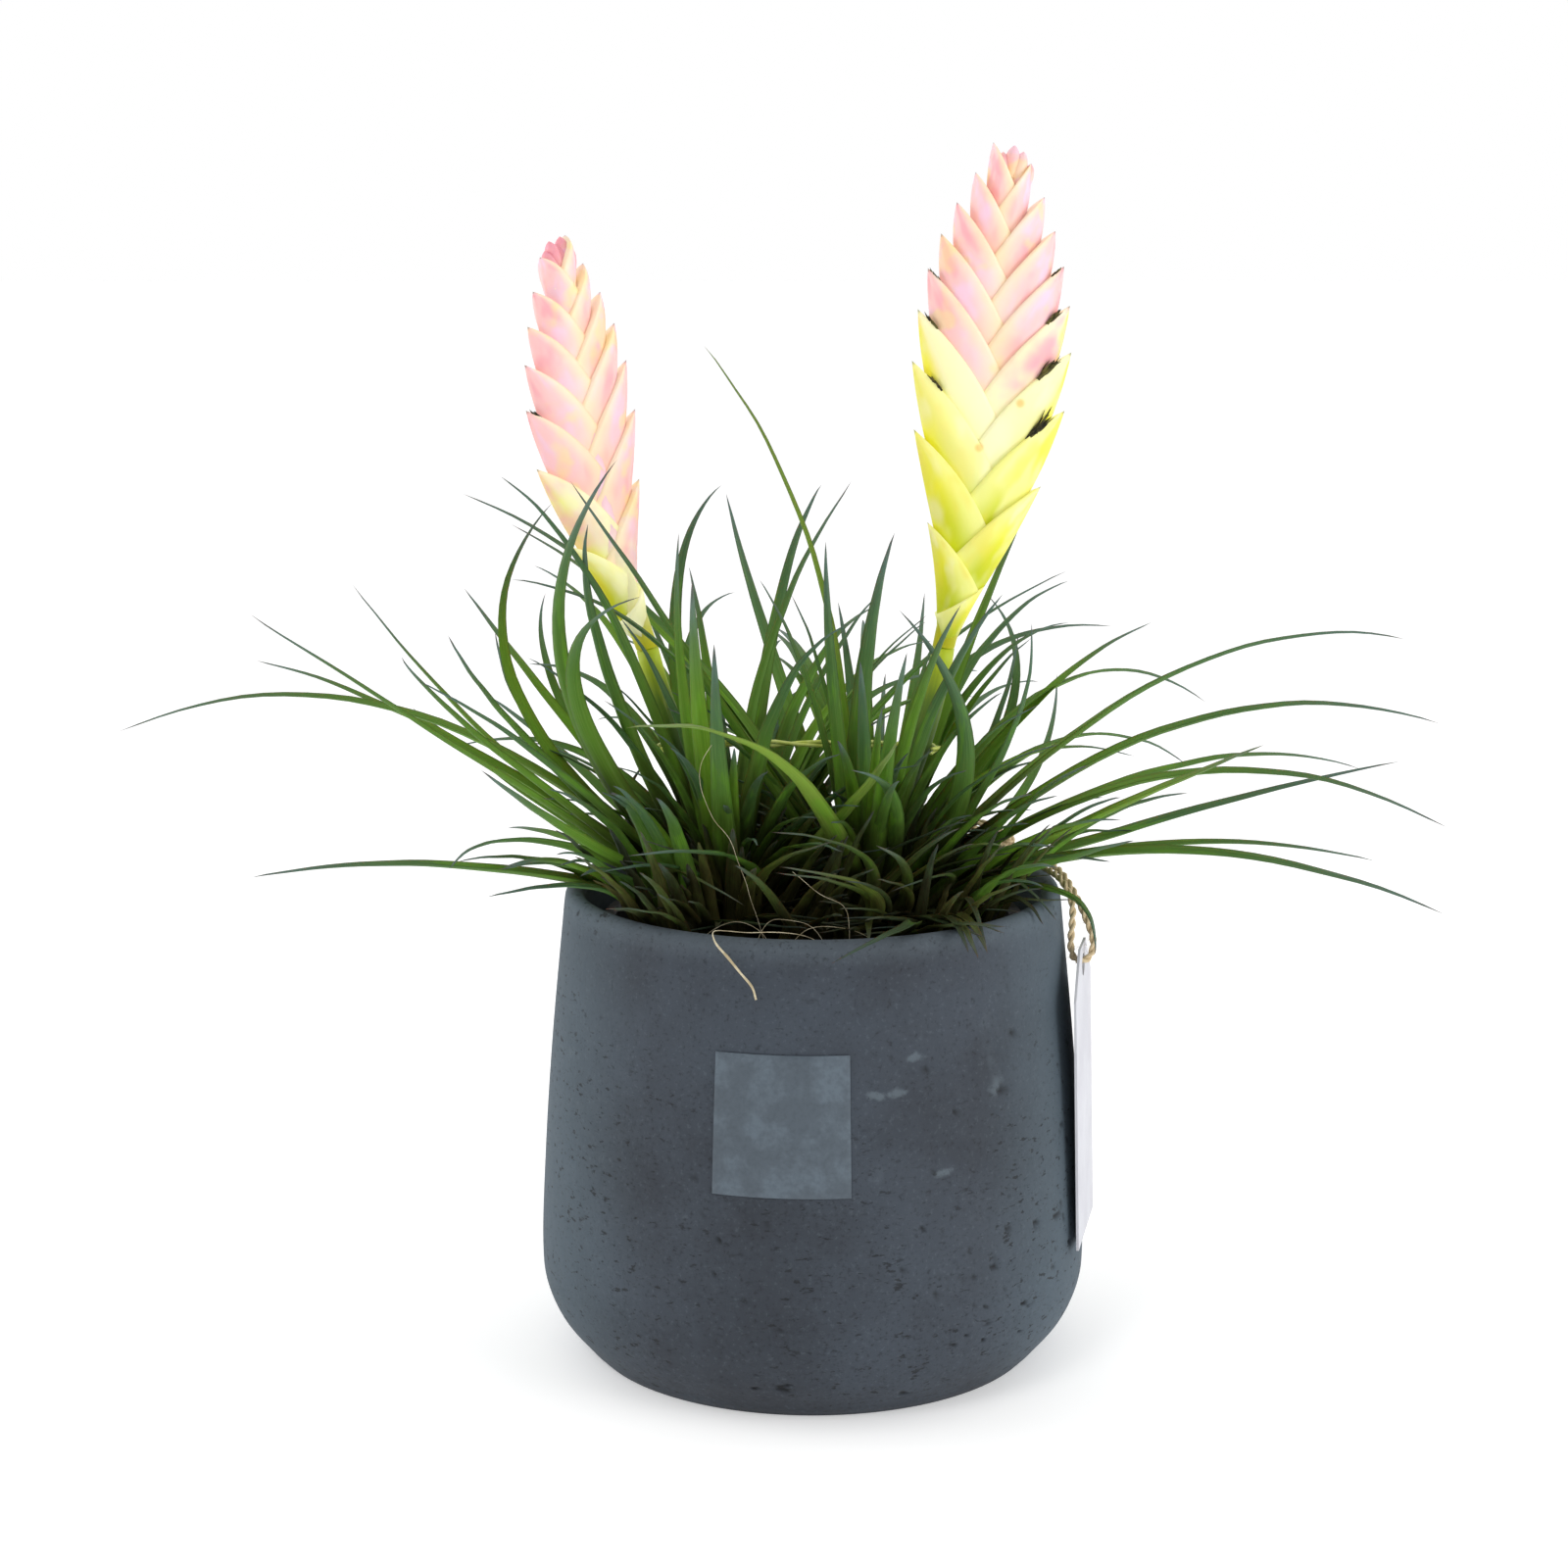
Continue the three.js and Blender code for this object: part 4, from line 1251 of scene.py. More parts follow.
@dataclass(frozen=True)
class Clearing:
    """How a leaf that would touch another piece is bent aside: its middle rises or sways, and its
    tip moves. It is tested as a plain four-sided blade with a margin."""

    margin: float = 0.7 * MM
    rises: tuple[float, ...] = (0, 3, 6, 10)
    sways: tuple[float, ...] = (0, 8, -8, 16, -16)
    shifts: tuple[float, ...] = (0, 6, -6, 12, -12, 20, -20, 30, -30, 42, -42)
    thickness: float = 1 * MM
    steps: int = 6

    def swept(self, lay: LeafLay) -> BVHTree:
        """The plain blade with its margin, for testing."""
        points, faces = [], []
        for k in range(self.steps):
            share = k / self.steps
            centre, side, face = lay.axes(share)
            half = 0.5 * (lay.width * (1 - share) ** lay.taper + self.margin)
            thick = 0.5 * (self.thickness * (1 - 0.35 * share) + self.margin)
            edge = half * (0.55 - 0.15 * share)
            for across, up in ((-half, edge), (0, thick), (half, edge), (0, -thick)):
                points.append(centre + across * side + up * face)
        for k, i in product(range(self.steps - 1), range(4)):
            a, b = 4 * k + i, 4 * k + (i + 1) % 4
            if i % 2:
                faces += [(a, b, b + 4), (a, b + 4, a + 4)]
            else:
                faces += [(a, b, a + 4), (b, b + 4, a + 4)]
        faces += [(0, 2, 1), (0, 3, 2)]
        last, apex = 4 * (self.steps - 1), len(points)
        points.append(lay.tip + self.margin * bezier_tangent(lay.spine(), 1))
        faces += [(last + i, last + (i + 1) % 4, apex) for i in range(4)]
        return BVHTree.FromPolygons(points, faces, all_triangles=True)

    def settle(self, lay: Lay, obstacles: BVHTree) -> LeafLay | None:
        """The first way of laying a leaf that touches nothing.

        Args:
            lay: Lays the leaf with a shift of its tip, a sway and a rise of its middle.
            obstacles: What it must not touch.

        Returns:
            The leaf as laid, or None if it finds no room.
        """
        for rise, sway, shift in product(self.rises, self.sways, self.shifts):
            laid = lay(shift * MM, sway * MM, rise * MM)
            if not self.swept(laid).overlap(obstacles):
                return laid
        return None


@dataclass(frozen=True)
class SpikeShape:
    """A flower spike's foot and top in the upright plane, and its form.

    The bow is how far it bends aside, and the turn is in degrees about its own length. From
    turned_pink, a share of its length, the bracts are pink. The crest lists the tips of small bracts
    at the top: across as a share of the half width, and up as a share of the length. Spent flowers
    are listed by the bract that they show behind, how far along its margin they start, and their size.
    """

    foot: tuple[float, float]
    top: tuple[float, float]
    half_width: float
    bow: float
    turn: float
    bracts: int
    turned_pink: float
    crest: tuple[tuple[float, float], ...]
    spent: tuple[tuple[int, float, float], ...]
    crest_ripeness: float = 1.0
    pinker_right: float = 0.0

    @property
    def run(self) -> float:
        """How far the top lies to the right of the foot."""
        return self.top[0] - self.foot[0]

    @property
    def rise(self) -> float:
        """How far the top lies above the foot."""
        return self.top[1] - self.foot[1]

    @property
    def length(self) -> float:
        """The length of the spike."""
        return math.hypot(self.run, self.rise)


LEFT_SPIKE = SpikeShape(
    foot=(-38.6 * MM, 168 * MM),
    top=(-59 * MM, 262.2 * MM),
    half_width=15.4 * MM,
    bow=-3.9 * MM,
    turn=40,
    bracts=15,
    turned_pink=0.2,
    crest=((-0.2, 0.975), (-0.09, 0.995), (0.03, 0.985), (0.12, 1.0), (0.24, 0.975)),
    spent=((5, 0.86, 1.5 * MM),),
    crest_ripeness=1.2,
    pinker_right=0.06,
)
RIGHT_SPIKE = SpikeShape(
    foot=(30.5 * MM, 168.3 * MM),
    top=(44.8 * MM, 283 * MM),
    half_width=18.4 * MM,
    bow=3.2 * MM,
    turn=4,
    bracts=18,
    turned_pink=0.47,
    crest=((-0.08, 0.985), (0.05, 1.0), (0.17, 0.99), (0.28, 0.968)),
    spent=(
        (4, 0.66, 7.4 * MM), (6, 0.7, 6.4 * MM), (8, 0.78, 3.2 * MM), (10, 0.85, 1.6 * MM),
        (5, 0.74, 2.6 * MM), (7, 0.82, 2.2 * MM), (9, 0.88, 1.2 * MM),
    ),
)


def obstacle_parts(nodes: Sequence[str]) -> tuple[list[Vector], list[tuple[int, ...]]]:
    """The points and faces of some of the part's solids."""
    points, faces = [], []
    for name in nodes:
        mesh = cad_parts[name].data
        first = len(points)
        points += [vertex.co.copy() for vertex in mesh.vertices]
        faces += [tuple(first + i for i in polygon.vertices) for polygon in mesh.polygons]
    return points, faces


class Side(Enum):
    """Which of the two plants."""

    LEFT = "left"
    RIGHT = "right"


@dataclass
class Plant(SubAssembly):
    """One plant: a crown in the bark, grass-like leaves, and a stalk with a flat flower spike.

    The foot and front bearings are the sides on which the small leaves of those rules stand, in
    degrees. Pale rows are the numbers of the palest listed leaves.
    """

    side: Side
    crown: tuple[float, float]
    spike: SpikeShape
    rows: Sequence[tuple[float, ...]]
    seed: int
    foot_bearings: tuple[float, float]
    front_bearings: tuple[float, float]
    soil_level: float = 100 * MM
    heart_rise: float = 3 * MM
    listed_twist: float = 0.9
    ruled_twist: float = 0.6
    crown_radius: float = 9 * MM
    crown_depth: float = 16 * MM
    eye_distance: float = 733 * MM
    eye_height: float = 283 * MM
    stalk_foot_radius: float = 3.4 * MM
    stalk_top_radius: float = 2.6 * MM
    blade_steps: int = 26
    blade_thickness: float = 0.5 * MM
    slimness: float = 0.82
    fineness: float = 0.94
    fullness: float = 0.1
    pale_rows: tuple[int, ...] = ()
    bract_rings: int = 16
    keel_offset: float = 2 * MM
    margin_offset: float = 4 * MM
    fold_reference: float = 18.8
    crest_width: float = 0.1
    crest_length: float = 0.065
    crest_sides: int = 12
    spent_strands: int = 20
    leaves: Skin = field(init=False)
    tones: Random = field(init=False)

    def __post_init__(self) -> None:
        """Starts the piece that gathers its leaves."""
        self.leaves = Skin(f"{self.side.value}_leaves")
        self.tones = Random(self.seed)

    def _heart(self) -> Vector:
        """Where the leaves grow from."""
        return Vector((*self.crown, self.soil_level + self.heart_rise))

    def _sighted(self, across: float, up: float, depth: float) -> Vector:
        """Moves a place in the upright plane along the line of sight to its real depth."""
        share = depth / self.eye_distance
        return Vector((across * (1 + share), depth, up + (up - self.eye_height) * share))

    def _listed(self, row: Sequence[float], twist: float) -> Lay:
        """How a listed leaf is laid.

        Args:
            row: Its places and width, as the lists of leaves give them.
            twist: How far it turns about its own length, in radians.
        """
        tip_x, tip_z, middle_x, middle_z, depth, full_width = (value * MM for value in row)
        width = self.slimness * full_width

        def lay(shift: float, sway: float, rise: float) -> LeafLay:
            """Lays the leaf."""
            root = self._heart()
            tip = self._sighted(tip_x, tip_z, depth + shift)
            middle = self._sighted(middle_x, middle_z + rise, 0.45 * (depth + shift) + 0.5 * root.y + sway)
            outward = middle - root
            outward.z = 0
            return LeafLay(root + 0.5 * self.crown_radius * outward.normalized(), middle, tip, width, twist)

        return lay

    def _ruled(self, rule: LeafRule, share: float, draw: Iterator[float]) -> Lay:
        """How a leaf is laid that is placed by rule.

        Args:
            rule: Its rule.
            share: Where it stands among the rule's leaves, from 0 to 1.
            draw: Repeatable numbers.
        """
        bearing = math.radians(between(*rule.bearings, share))
        reach = length_between(rule.reach, next(draw))
        height = length_between(rule.height, next(draw))
        width = self.slimness * length_between(rule.width, next(draw))
        twist = (next(draw) - 0.5) * self.ruled_twist
        start = length_between(rule.start, next(draw)) if rule.start else 0.0

        def lay(shift: float, sway: float, rise: float) -> LeafLay:
            """Lays the leaf."""
            turned = bearing + shift / (start + reach)
            outward = Vector((math.cos(turned), math.sin(turned), 0))
            root = self._heart() + start * outward - (self.heart_rise * UP if start else Vector())
            middle = root + 0.46 * reach * outward + (0.5 * height + MM * rule.arch + rise) * UP
            middle.x += sway
            tip = root + reach * outward + height * UP
            base = root if start else root + 0.5 * self.crown_radius * outward
            return LeafLay(base, middle, tip, width, twist, rule.dry, rule.taper, rule.fresh * start)

        return lay

    def main_lays(self) -> Iterator[Lay]:
        """How each leaf is laid, in the order in which the solid leaves are placed."""
        draw = repeatable(self.seed)
        for row in self.rows:
            yield self._listed(row, (next(draw) - 0.5) * self.listed_twist)
        for rule in (FAR_LEAVES, NEAR_LEAVES):
            for k in range(rule.count):
                yield self._ruled(rule, (k + next(draw)) / rule.count, draw)

    def small_lays(self) -> Iterator[Lay]:
        """How each of the small leaves is laid that fill the plant's heart and foot."""
        draw = repeatable(self.seed + 100)
        foot = replace(FOOT_LEAVES, bearings=self.foot_bearings)
        front = replace(FRONT_LEAVES, bearings=self.front_bearings)
        for rule in (HEART_LEAVES, SHORT_LEAVES, foot, front):
            for k in range(rule.count):
                yield self._ruled(rule, (k + next(draw)) / rule.count, draw)

    def stalk_line(self) -> list[Vector]:
        """The four points of the stalk's curve, from the crown to the foot of the spike."""
        lean = Vector((self.spike.run, 0, self.spike.rise)).normalized()
        base = Vector((*self.crown, self.soil_level))
        end = Vector((self.spike.foot[0], 0, self.spike.foot[1]))
        return [base, base + 22 * MM * UP, end - 26 * MM * lean, end - 0.3 * MM * lean]

    def stem_rings(self, skin: Skin, crown_sides: int, stalk_steps: int, stalk_sides: int) -> None:
        """Adds the crown and the bare stalk to a skin.

        Args:
            skin: What they are added to.
            crown_sides: Number of sides of the crown.
            stalk_steps: Number of steps up the stalk.
            stalk_sides: Number of sides of the stalk.
        """
        profile = [
            (5 * MM, 1 * MM - self.crown_depth),
            (self.crown_radius, -8 * MM),
            (self.crown_radius - 0.5 * MM, -1 * MM),
            (self.crown_radius - 3 * MM, 6 * MM),
        ]
        middle = Vector((*self.crown, self.soil_level))
        rings = []
        for radius, height in profile:
            ring = circle(middle + height * UP, radius, crown_sides)
            rings.append([(p, {"along": 0.0, "across": i / crown_sides}) for i, p in enumerate(ring)])
        skin.loft(rings, (middle + 11 * MM * UP, {"along": 0.1, "across": 0.5}))
        line = self.stalk_line()
        rings = []
        for k in range(stalk_steps + 1):
            share = k / stalk_steps
            along = bezier_tangent(line, share)
            side = Vector((0, 1, 0)).cross(along).normalized()
            front = side.cross(along).normalized()
            radius = between(self.stalk_foot_radius, self.stalk_top_radius, share)
            centre = bezier(line, share)
            ring = []
            for i in range(stalk_sides):
                angle = -TURN * i / stalk_sides
                point = centre + radius * (math.cos(angle) * side + math.sin(angle) * front)
                ring.append((point, {"along": share, "across": i / stalk_sides}))
            rings.append(ring)
        skin.loft(rings)

    def _blade(self, skin: Skin, lay: LeafLay, tone: float) -> None:
        """Adds one leaf: a channelled blade, rounded below, that narrows to a fine point.

        Args:
            skin: The leaves.
            lay: Where it lies.
            tone: A number for the finish.
        """
        section = (-1.0, -0.55, -0.18, 0.18, 0.55, 1.0)
        length = path_length([lay.axes(k / 8)[0] for k in range(9)])
        rings = []
        for k in range(self.blade_steps):
            share = (k / self.blade_steps) ** 0.92
            centre, side, face = lay.axes(share)
            half = 0.5 * self.fineness * lay.width * (1 - share) ** (lay.taper - self.fullness)
            channel = half * (0.6 - 0.15 * share)
            thick = 0.5 * self.blade_thickness * (1 - 0.5 * share)
            wave = 0.35 * MM * noise.noise(Vector((tone * 90, 9 * share, 1.5)))

            def dot(u: float, under: bool) -> Dot:
                """One point of the section, on the upper or the lower face."""
                bend = channel * (abs(u) ** 1.4) + wave
                swell = thick * (1 - 0.75 * u * u) * (-1 if under else 1)
                marks = {"along": share, "across": u, "tone": tone, "dry": lay.dry}
                marks["reach"] = lay.risen + share * length
                return centre + half * u * side + (bend + swell) * face, marks

            rings.append([dot(u, False) for u in section] + [dot(u, True) for u in reversed(section)])
        marks = {"along": 1.0, "across": 0.0, "tone": tone, "dry": lay.dry, "reach": lay.risen + length}
        skin.loft(rings, (lay.tip, marks))

    def add_leaves(
        self, lays: Iterator[Lay], others: Sequence[str], skins: Sequence[Skin], pale: Sequence[int] = ()
    ) -> None:
        """Lays leaves clear of the other pieces and adds them to the plant's own.

        Args:
            lays: How each is laid.
            others: The solids that the leaves keep clear of.
            skins: Further pieces that they keep clear of.
            pale: The numbers of the palest ones.
        """
        points, faces = obstacle_parts(others)
        for other in skins:
            faces += [tuple(len(points) + i for i in face) for face in other.faces]
            points += other.points
        obstacles = BVHTree.FromPolygons(points, faces)
        laid = [Clearing().settle(lay, obstacles) for lay in lays]
        for number, lay in enumerate(laid):
            tone = self.tones.random()
            if lay:
                self._blade(self.leaves, lay, 1.0 if number in pale else tone)
        log.info("%s plant: %d of %d leaves laid", self.side.value, len(laid) - laid.count(None), len(laid))

    def keep_leaves(self) -> None:
        """Makes one piece of the leaves laid so far."""
        self.keep(self.leaves.piece(), LeafFinish(), f"plant_{self.side.value}")

    def build_stem(self) -> None:
        """Builds the crown and the stalk."""
        skin = Skin(f"{self.side.value}_stem")
        self.stem_rings(skin, 32, 24, 20)
        self.keep(skin.piece(), StemFinish(), f"plant_{self.side.value}")

    def placed(self, flat: Vector) -> Vector:
        """Takes a point from the spike's own flat frame to its place."""
        spike = self.spike
        turned = Matrix.Rotation(math.radians(spike.turn), 3, "Z") @ flat
        share = turned.z / spike.length
        turned.x += 6.75 * spike.bow * share * (1 - share) ** 2
        leaned = Matrix.Rotation(math.atan2(spike.run, spike.rise), 3, "Y") @ turned
        return leaned + Vector((spike.foot[0], 0, spike.foot[1]))

    def ripeness(self, share: float, side: int = 0) -> float:
        """How far a bract has turned from yellow-green, below 0.5, to pink, above it."""
        return min(1.0, max(0.0, 0.5 + share - self.spike.turned_pink + side * self.spike.pinker_right))

    def bract_curves(self, share: float, side: int) -> tuple[list[Vector], list[Vector]]:
        """The keel and the free margin of a bract, in the spike's own flat frame.

        The tips run ahead of the places where the bracts grow and gather at the top. Their spread
        swells quickly at the foot of the spike and closes towards the top, where bracts are blunter.

        Args:
            share: Where the bract stands along the spike, from 0 to 1.
            side: 1 for a bract to the right, -1 to the left.

        Returns:
            Three points of each curve, which end in the same tip.
        """
        length, half_width = self.spike.length, self.spike.half_width
        tip_share = 0.55 * share + 0.45 * (1 - (1 - share) ** 4.5)
        spread = 4.31 * tip_share**1.25 * (1 - min(tip_share, 0.99)) ** 0.9 + 0.15 * tip_share**12
        tip = Vector((side * half_width * spread, 0, length * tip_share))
        node = 0.86 * length * share
        clasp = max(-0.03 * length, node - 0.09 * length)
        lap = node + 0.18 * (tip.z - node)
        blunt = max(0.0, 2 * share - 1)
        keel_foot = Vector((side * self.keel_offset, 0, clasp))
        keel_rise = clasp + (0.5 + 0.2 * blunt) * (tip.z - clasp)
        keel_bend = Vector(((0.3 + 0.9 * tip_share + 0.2 * blunt) * tip.x, 0, keel_rise))
        margin_foot = Vector((-side * self.margin_offset, 0, lap))
        margin_rise = lap + (0.6 + 0.2 * blunt) * (tip.z - lap)
        margin_bend = Vector(((0.2 + 0.3 * blunt) * tip.x, 0, margin_rise))
        return [keel_foot, keel_bend, tip], [margin_foot, margin_bend, tip]

    def fold_depth(self, u: float) -> float:
        """How far a bract's fold stands out from the spike's middle plane at a share of its length.

        The curve gives millimetres for a spike whose half width is the reference, also in millimetres.
        """
        return self.spike.half_width / self.fold_reference * (3 + 6.6 * u - 4.2 * u * u) * (1 - u**4)

    def _bract(self, skin: Skin, share: float, side: int, tone: float) -> None:
        """Adds one keeled bract that laps over the ones above it.

        Args:
            skin: The spike.
            share: Where the bract stands along the spike, from 0 to 1.
            side: 1 for a bract to the right, -1 to the left.
            tone: A number for the finish.
        """
        keel, margin = self.bract_curves(share, side)
        across_steps = (0.0, 0.05, 0.13, 0.25, 0.4, 0.58, 0.78, 0.93, 1.0)
        rings = []
        for k in range(self.bract_rings):
            u = k / self.bract_rings
            outer, inner = bezier(keel, u), bezier(margin, u)

            def dot(v: float, front: int) -> Dot:
                """One point of the section, in front of or behind the spike's middle plane."""
                swell = 1 - (1 - v) ** 2.6
                point = outer.lerp(inner, v) + Vector((0, front * self.fold_depth(u) * swell, 0))
                marks = {"along": u, "across": v, "tone": tone, "ripe": self.ripeness(share, side)}
                return self.placed(point), marks

            ring = [dot(v, -1) for v in across_steps] + [dot(v, 1) for v in reversed(across_steps[1:])]
            rings.append(ring[::-1] if side > 0 else ring)
        marks = {"along": 1.0, "across": 0.5, "tone": tone, "ripe": self.ripeness(share, side)}
        skin.loft(rings, (self.placed(keel[-1]), marks))

    def _crest_bract(self, skin: Skin, across: float, up: float, tone: float) -> None:
        """Adds one small blunt bract at the spike's top, that stands out to the front and the back.

        Args:
            skin: The spike.
            across: Its tip across, as a share of the spike's half width.
            up: Its tip up, as a share of the spike's length.
            tone: A number for the finish.
        """
        wide = self.crest_width * self.spike.half_width
        tip = Vector((across * self.spike.half_width, 0, up * self.spike.length))
        foot = Vector((0.6 * tip.x, 0, tip.z - self.crest_length * self.spike.length))
        aside = Vector((wide, 0, 0))
        edges = [[foot + 0.7 * s * aside, foot.lerp(tip, 0.75) + 1.5 * s * aside, tip] for s in (-1, 1)]
        ripe = self.spike.crest_ripeness
        rings = []
        for k in range(self.bract_rings):
            u = k / self.bract_rings
            left, right = (bezier(edge, u) for edge in edges)
            ring = []
            for i in range(self.crest_sides):
                angle = TURN * i / self.crest_sides
                swell = Vector((0, -0.62 * self.fold_depth(0.4 + 0.6 * u) * math.sin(angle), 0))
                point = left.lerp(right, 0.5 - 0.5 * math.cos(angle)) + swell
                marks = {"along": 0.3 + 0.6 * u, "across": 0.4, "tone": tone, "ripe": ripe}
                ring.append((self.placed(point), marks))
            rings.append(ring)
        marks = {"along": 0.95, "across": 0.4, "tone": tone, "ripe": ripe}
        skin.loft(rings, (self.placed(tip), marks))

    def build_spike(self) -> None:
        """Builds the flower spike from its bracts, round a slim core."""
        tones = Random(self.seed + 1)
        skin = Skin(f"{self.side.value}_bracts")
        length = self.spike.length
        core = ((self.stalk_top_radius, 0), (3.4 * MM, 0.3 * length), (2 * MM, 0.9 * length))
        rings = []
        for radius, height in core:
            marks = {"along": 0.35, "across": 0.5, "tone": 0.5, "ripe": self.ripeness(height / length)}
            rings.append([(self.placed(point), marks) for point in circle(height * UP, radius, 16)])
        top = self.placed(Vector((0, 0, 0.95 * length)))
        skin.loft(rings, (top, {"along": 0.0, "across": 0.0, "tone": 0.5, "ripe": self.ripeness(1)}))
        for k in range(self.spike.bracts):
            self._bract(skin, (k + 1) / self.spike.bracts, -1 if k % 2 else 1, tones.random())
        for across, up in self.spike.crest:
            self._crest_bract(skin, across, up, tones.random())
        self.keep(skin.piece(), BractFinish(), f"flower_spike_{self.side.value}")

    def build_spent_flowers(self) -> None:
        """Adds the dark withered flowers that show behind the margins of some bracts."""
        draw = Random(self.seed + 2)
        skin = Skin(f"{self.side.value}_spent_flowers")
        for number, start, size in self.spike.spent:
            side = -1 if number % 2 else 1
            margin = self.bract_curves((number + 1) / self.spike.bracts, side)[1]
            for _ in range(self.spent_strands):
                u = min(0.98, start + 0.09 * draw.random())
                along = bezier_tangent(margin, u)
                outward = Vector((-side * along.z, 0, side * along.x))
                depth = Vector((0, -self.fold_depth(u) * draw.uniform(0.7, 1.0), 0))
                root = bezier(margin, u) + depth - 0.03 * size * outward
                reach = size * draw.uniform(0.4, 1.0)
                lean = draw.uniform(-0.02, 0.4)
                end = root + reach * (math.cos(lean) * along + math.sin(lean) * outward)
                end.y -= 0.06 * size * draw.random()
                bend = root.lerp(end, 0.55) + 0.05 * size * Vector([draw.uniform(-1, 1) for _ in range(3)])
                line = smooth_curve([self.placed(point) for point in (root, bend, end)], 8)
                thick = min(draw.uniform(0.25, 0.5) * MM, 0.12 * size)
                add_strand(skin, line, lambda share: thick * (1.05 - share) ** 0.7, 5)
        if self.spike.spent:
            self.keep(skin.piece(), PlainFinish("spent_flower", "#1f1d10", "#66602c", 420, 0.9, 0.1 * MM))


def grow_leaves(left: Plant, right: Plant) -> None:
    """Lays the leaves of both plants: the main ones in the order of the solids, then the small ones.

    Args:
        left: The left plant, whose leaves keep clear of the right one's stalk.
        right: The right plant, whose leaves keep clear of the whole left plant.
    """
    around = [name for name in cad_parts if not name.startswith("plant_") or name == "plant_tie"]
    beside = [*around, "plant_left"]
    right_stem = Skin("right_stem_test")
    right.stem_rings(right_stem, 16, 4, 8)
    left.add_leaves(left.main_lays(), around, [right_stem], left.pale_rows)
    right.add_leaves(right.main_lays(), beside, [], right.pale_rows)
    left.add_leaves(left.small_lays(), around, [right_stem, right.leaves])
    right.add_leaves(right.small_lays(), beside, [left.leaves])


# What ties, hangs and lies on the pot

TWINE_ROUTE = [
    (48.9, 27.5, 114.7),
    (51.4, 23.8, 113.9),
    (55.4, 15.5, 113.6),
    (59, 7.6, 112.9),
    (61.9, 1.4, 109.3),
    (64.3, -3.8, 104.4),
    (65.9, -7.6, 99.6),
    (65.3, -8.9, 96.5),
    (63.2, -10.3, 95.3),
    (61.1, -11.7, 96.5),
    (60.3, -12.2, 99.6),
    (60.6, -11.4, 104.4),
    (60.7, -9, 109),
    (58.8, -4.6, 113),
    (56.1, 2.4, 114.2),
    (52.9, 11, 114.1),
    (49, 20.4, 114.2),
    (45.9, 26.7, 114.9),
]
BOW_ROUTE = [
    (46.9, 30.2, 116.4),
    (44.4, 27.2, 119.6),
    (40, 26.6, 120.6),
    (38.4, 29.6, 119.2),
    (41.6, 31.6, 117.4),
    (46.9, 30.2, 116),
]
TAIL_ROUTE = [(46.9, 30.2, 116.2), (49, 33.6, 117.8), (50, 37.4, 117.2), (49.2, 40.6, 114.4)]
ROOT_ROUTE = [
    (9.5, -30, 102.2),
    (6.2, -36.5, 104.9),
    (1.5, -44.5, 108.5),
    (-3, -51, 112),
    (-7.5, -54.8, 113.3),
    (-13.5, -54.2, 113.2),
    (-19, -52.3, 113.1),
    (-22, -52.6, 112.9),
    (-21.6, -55.2, 111.6),
    (-18.8, -57.1, 108.5),
    (-15.9, -58, 105),
    (-13.3, -58.9, 102),
    (-12.4, -59.4, 99.3),
]


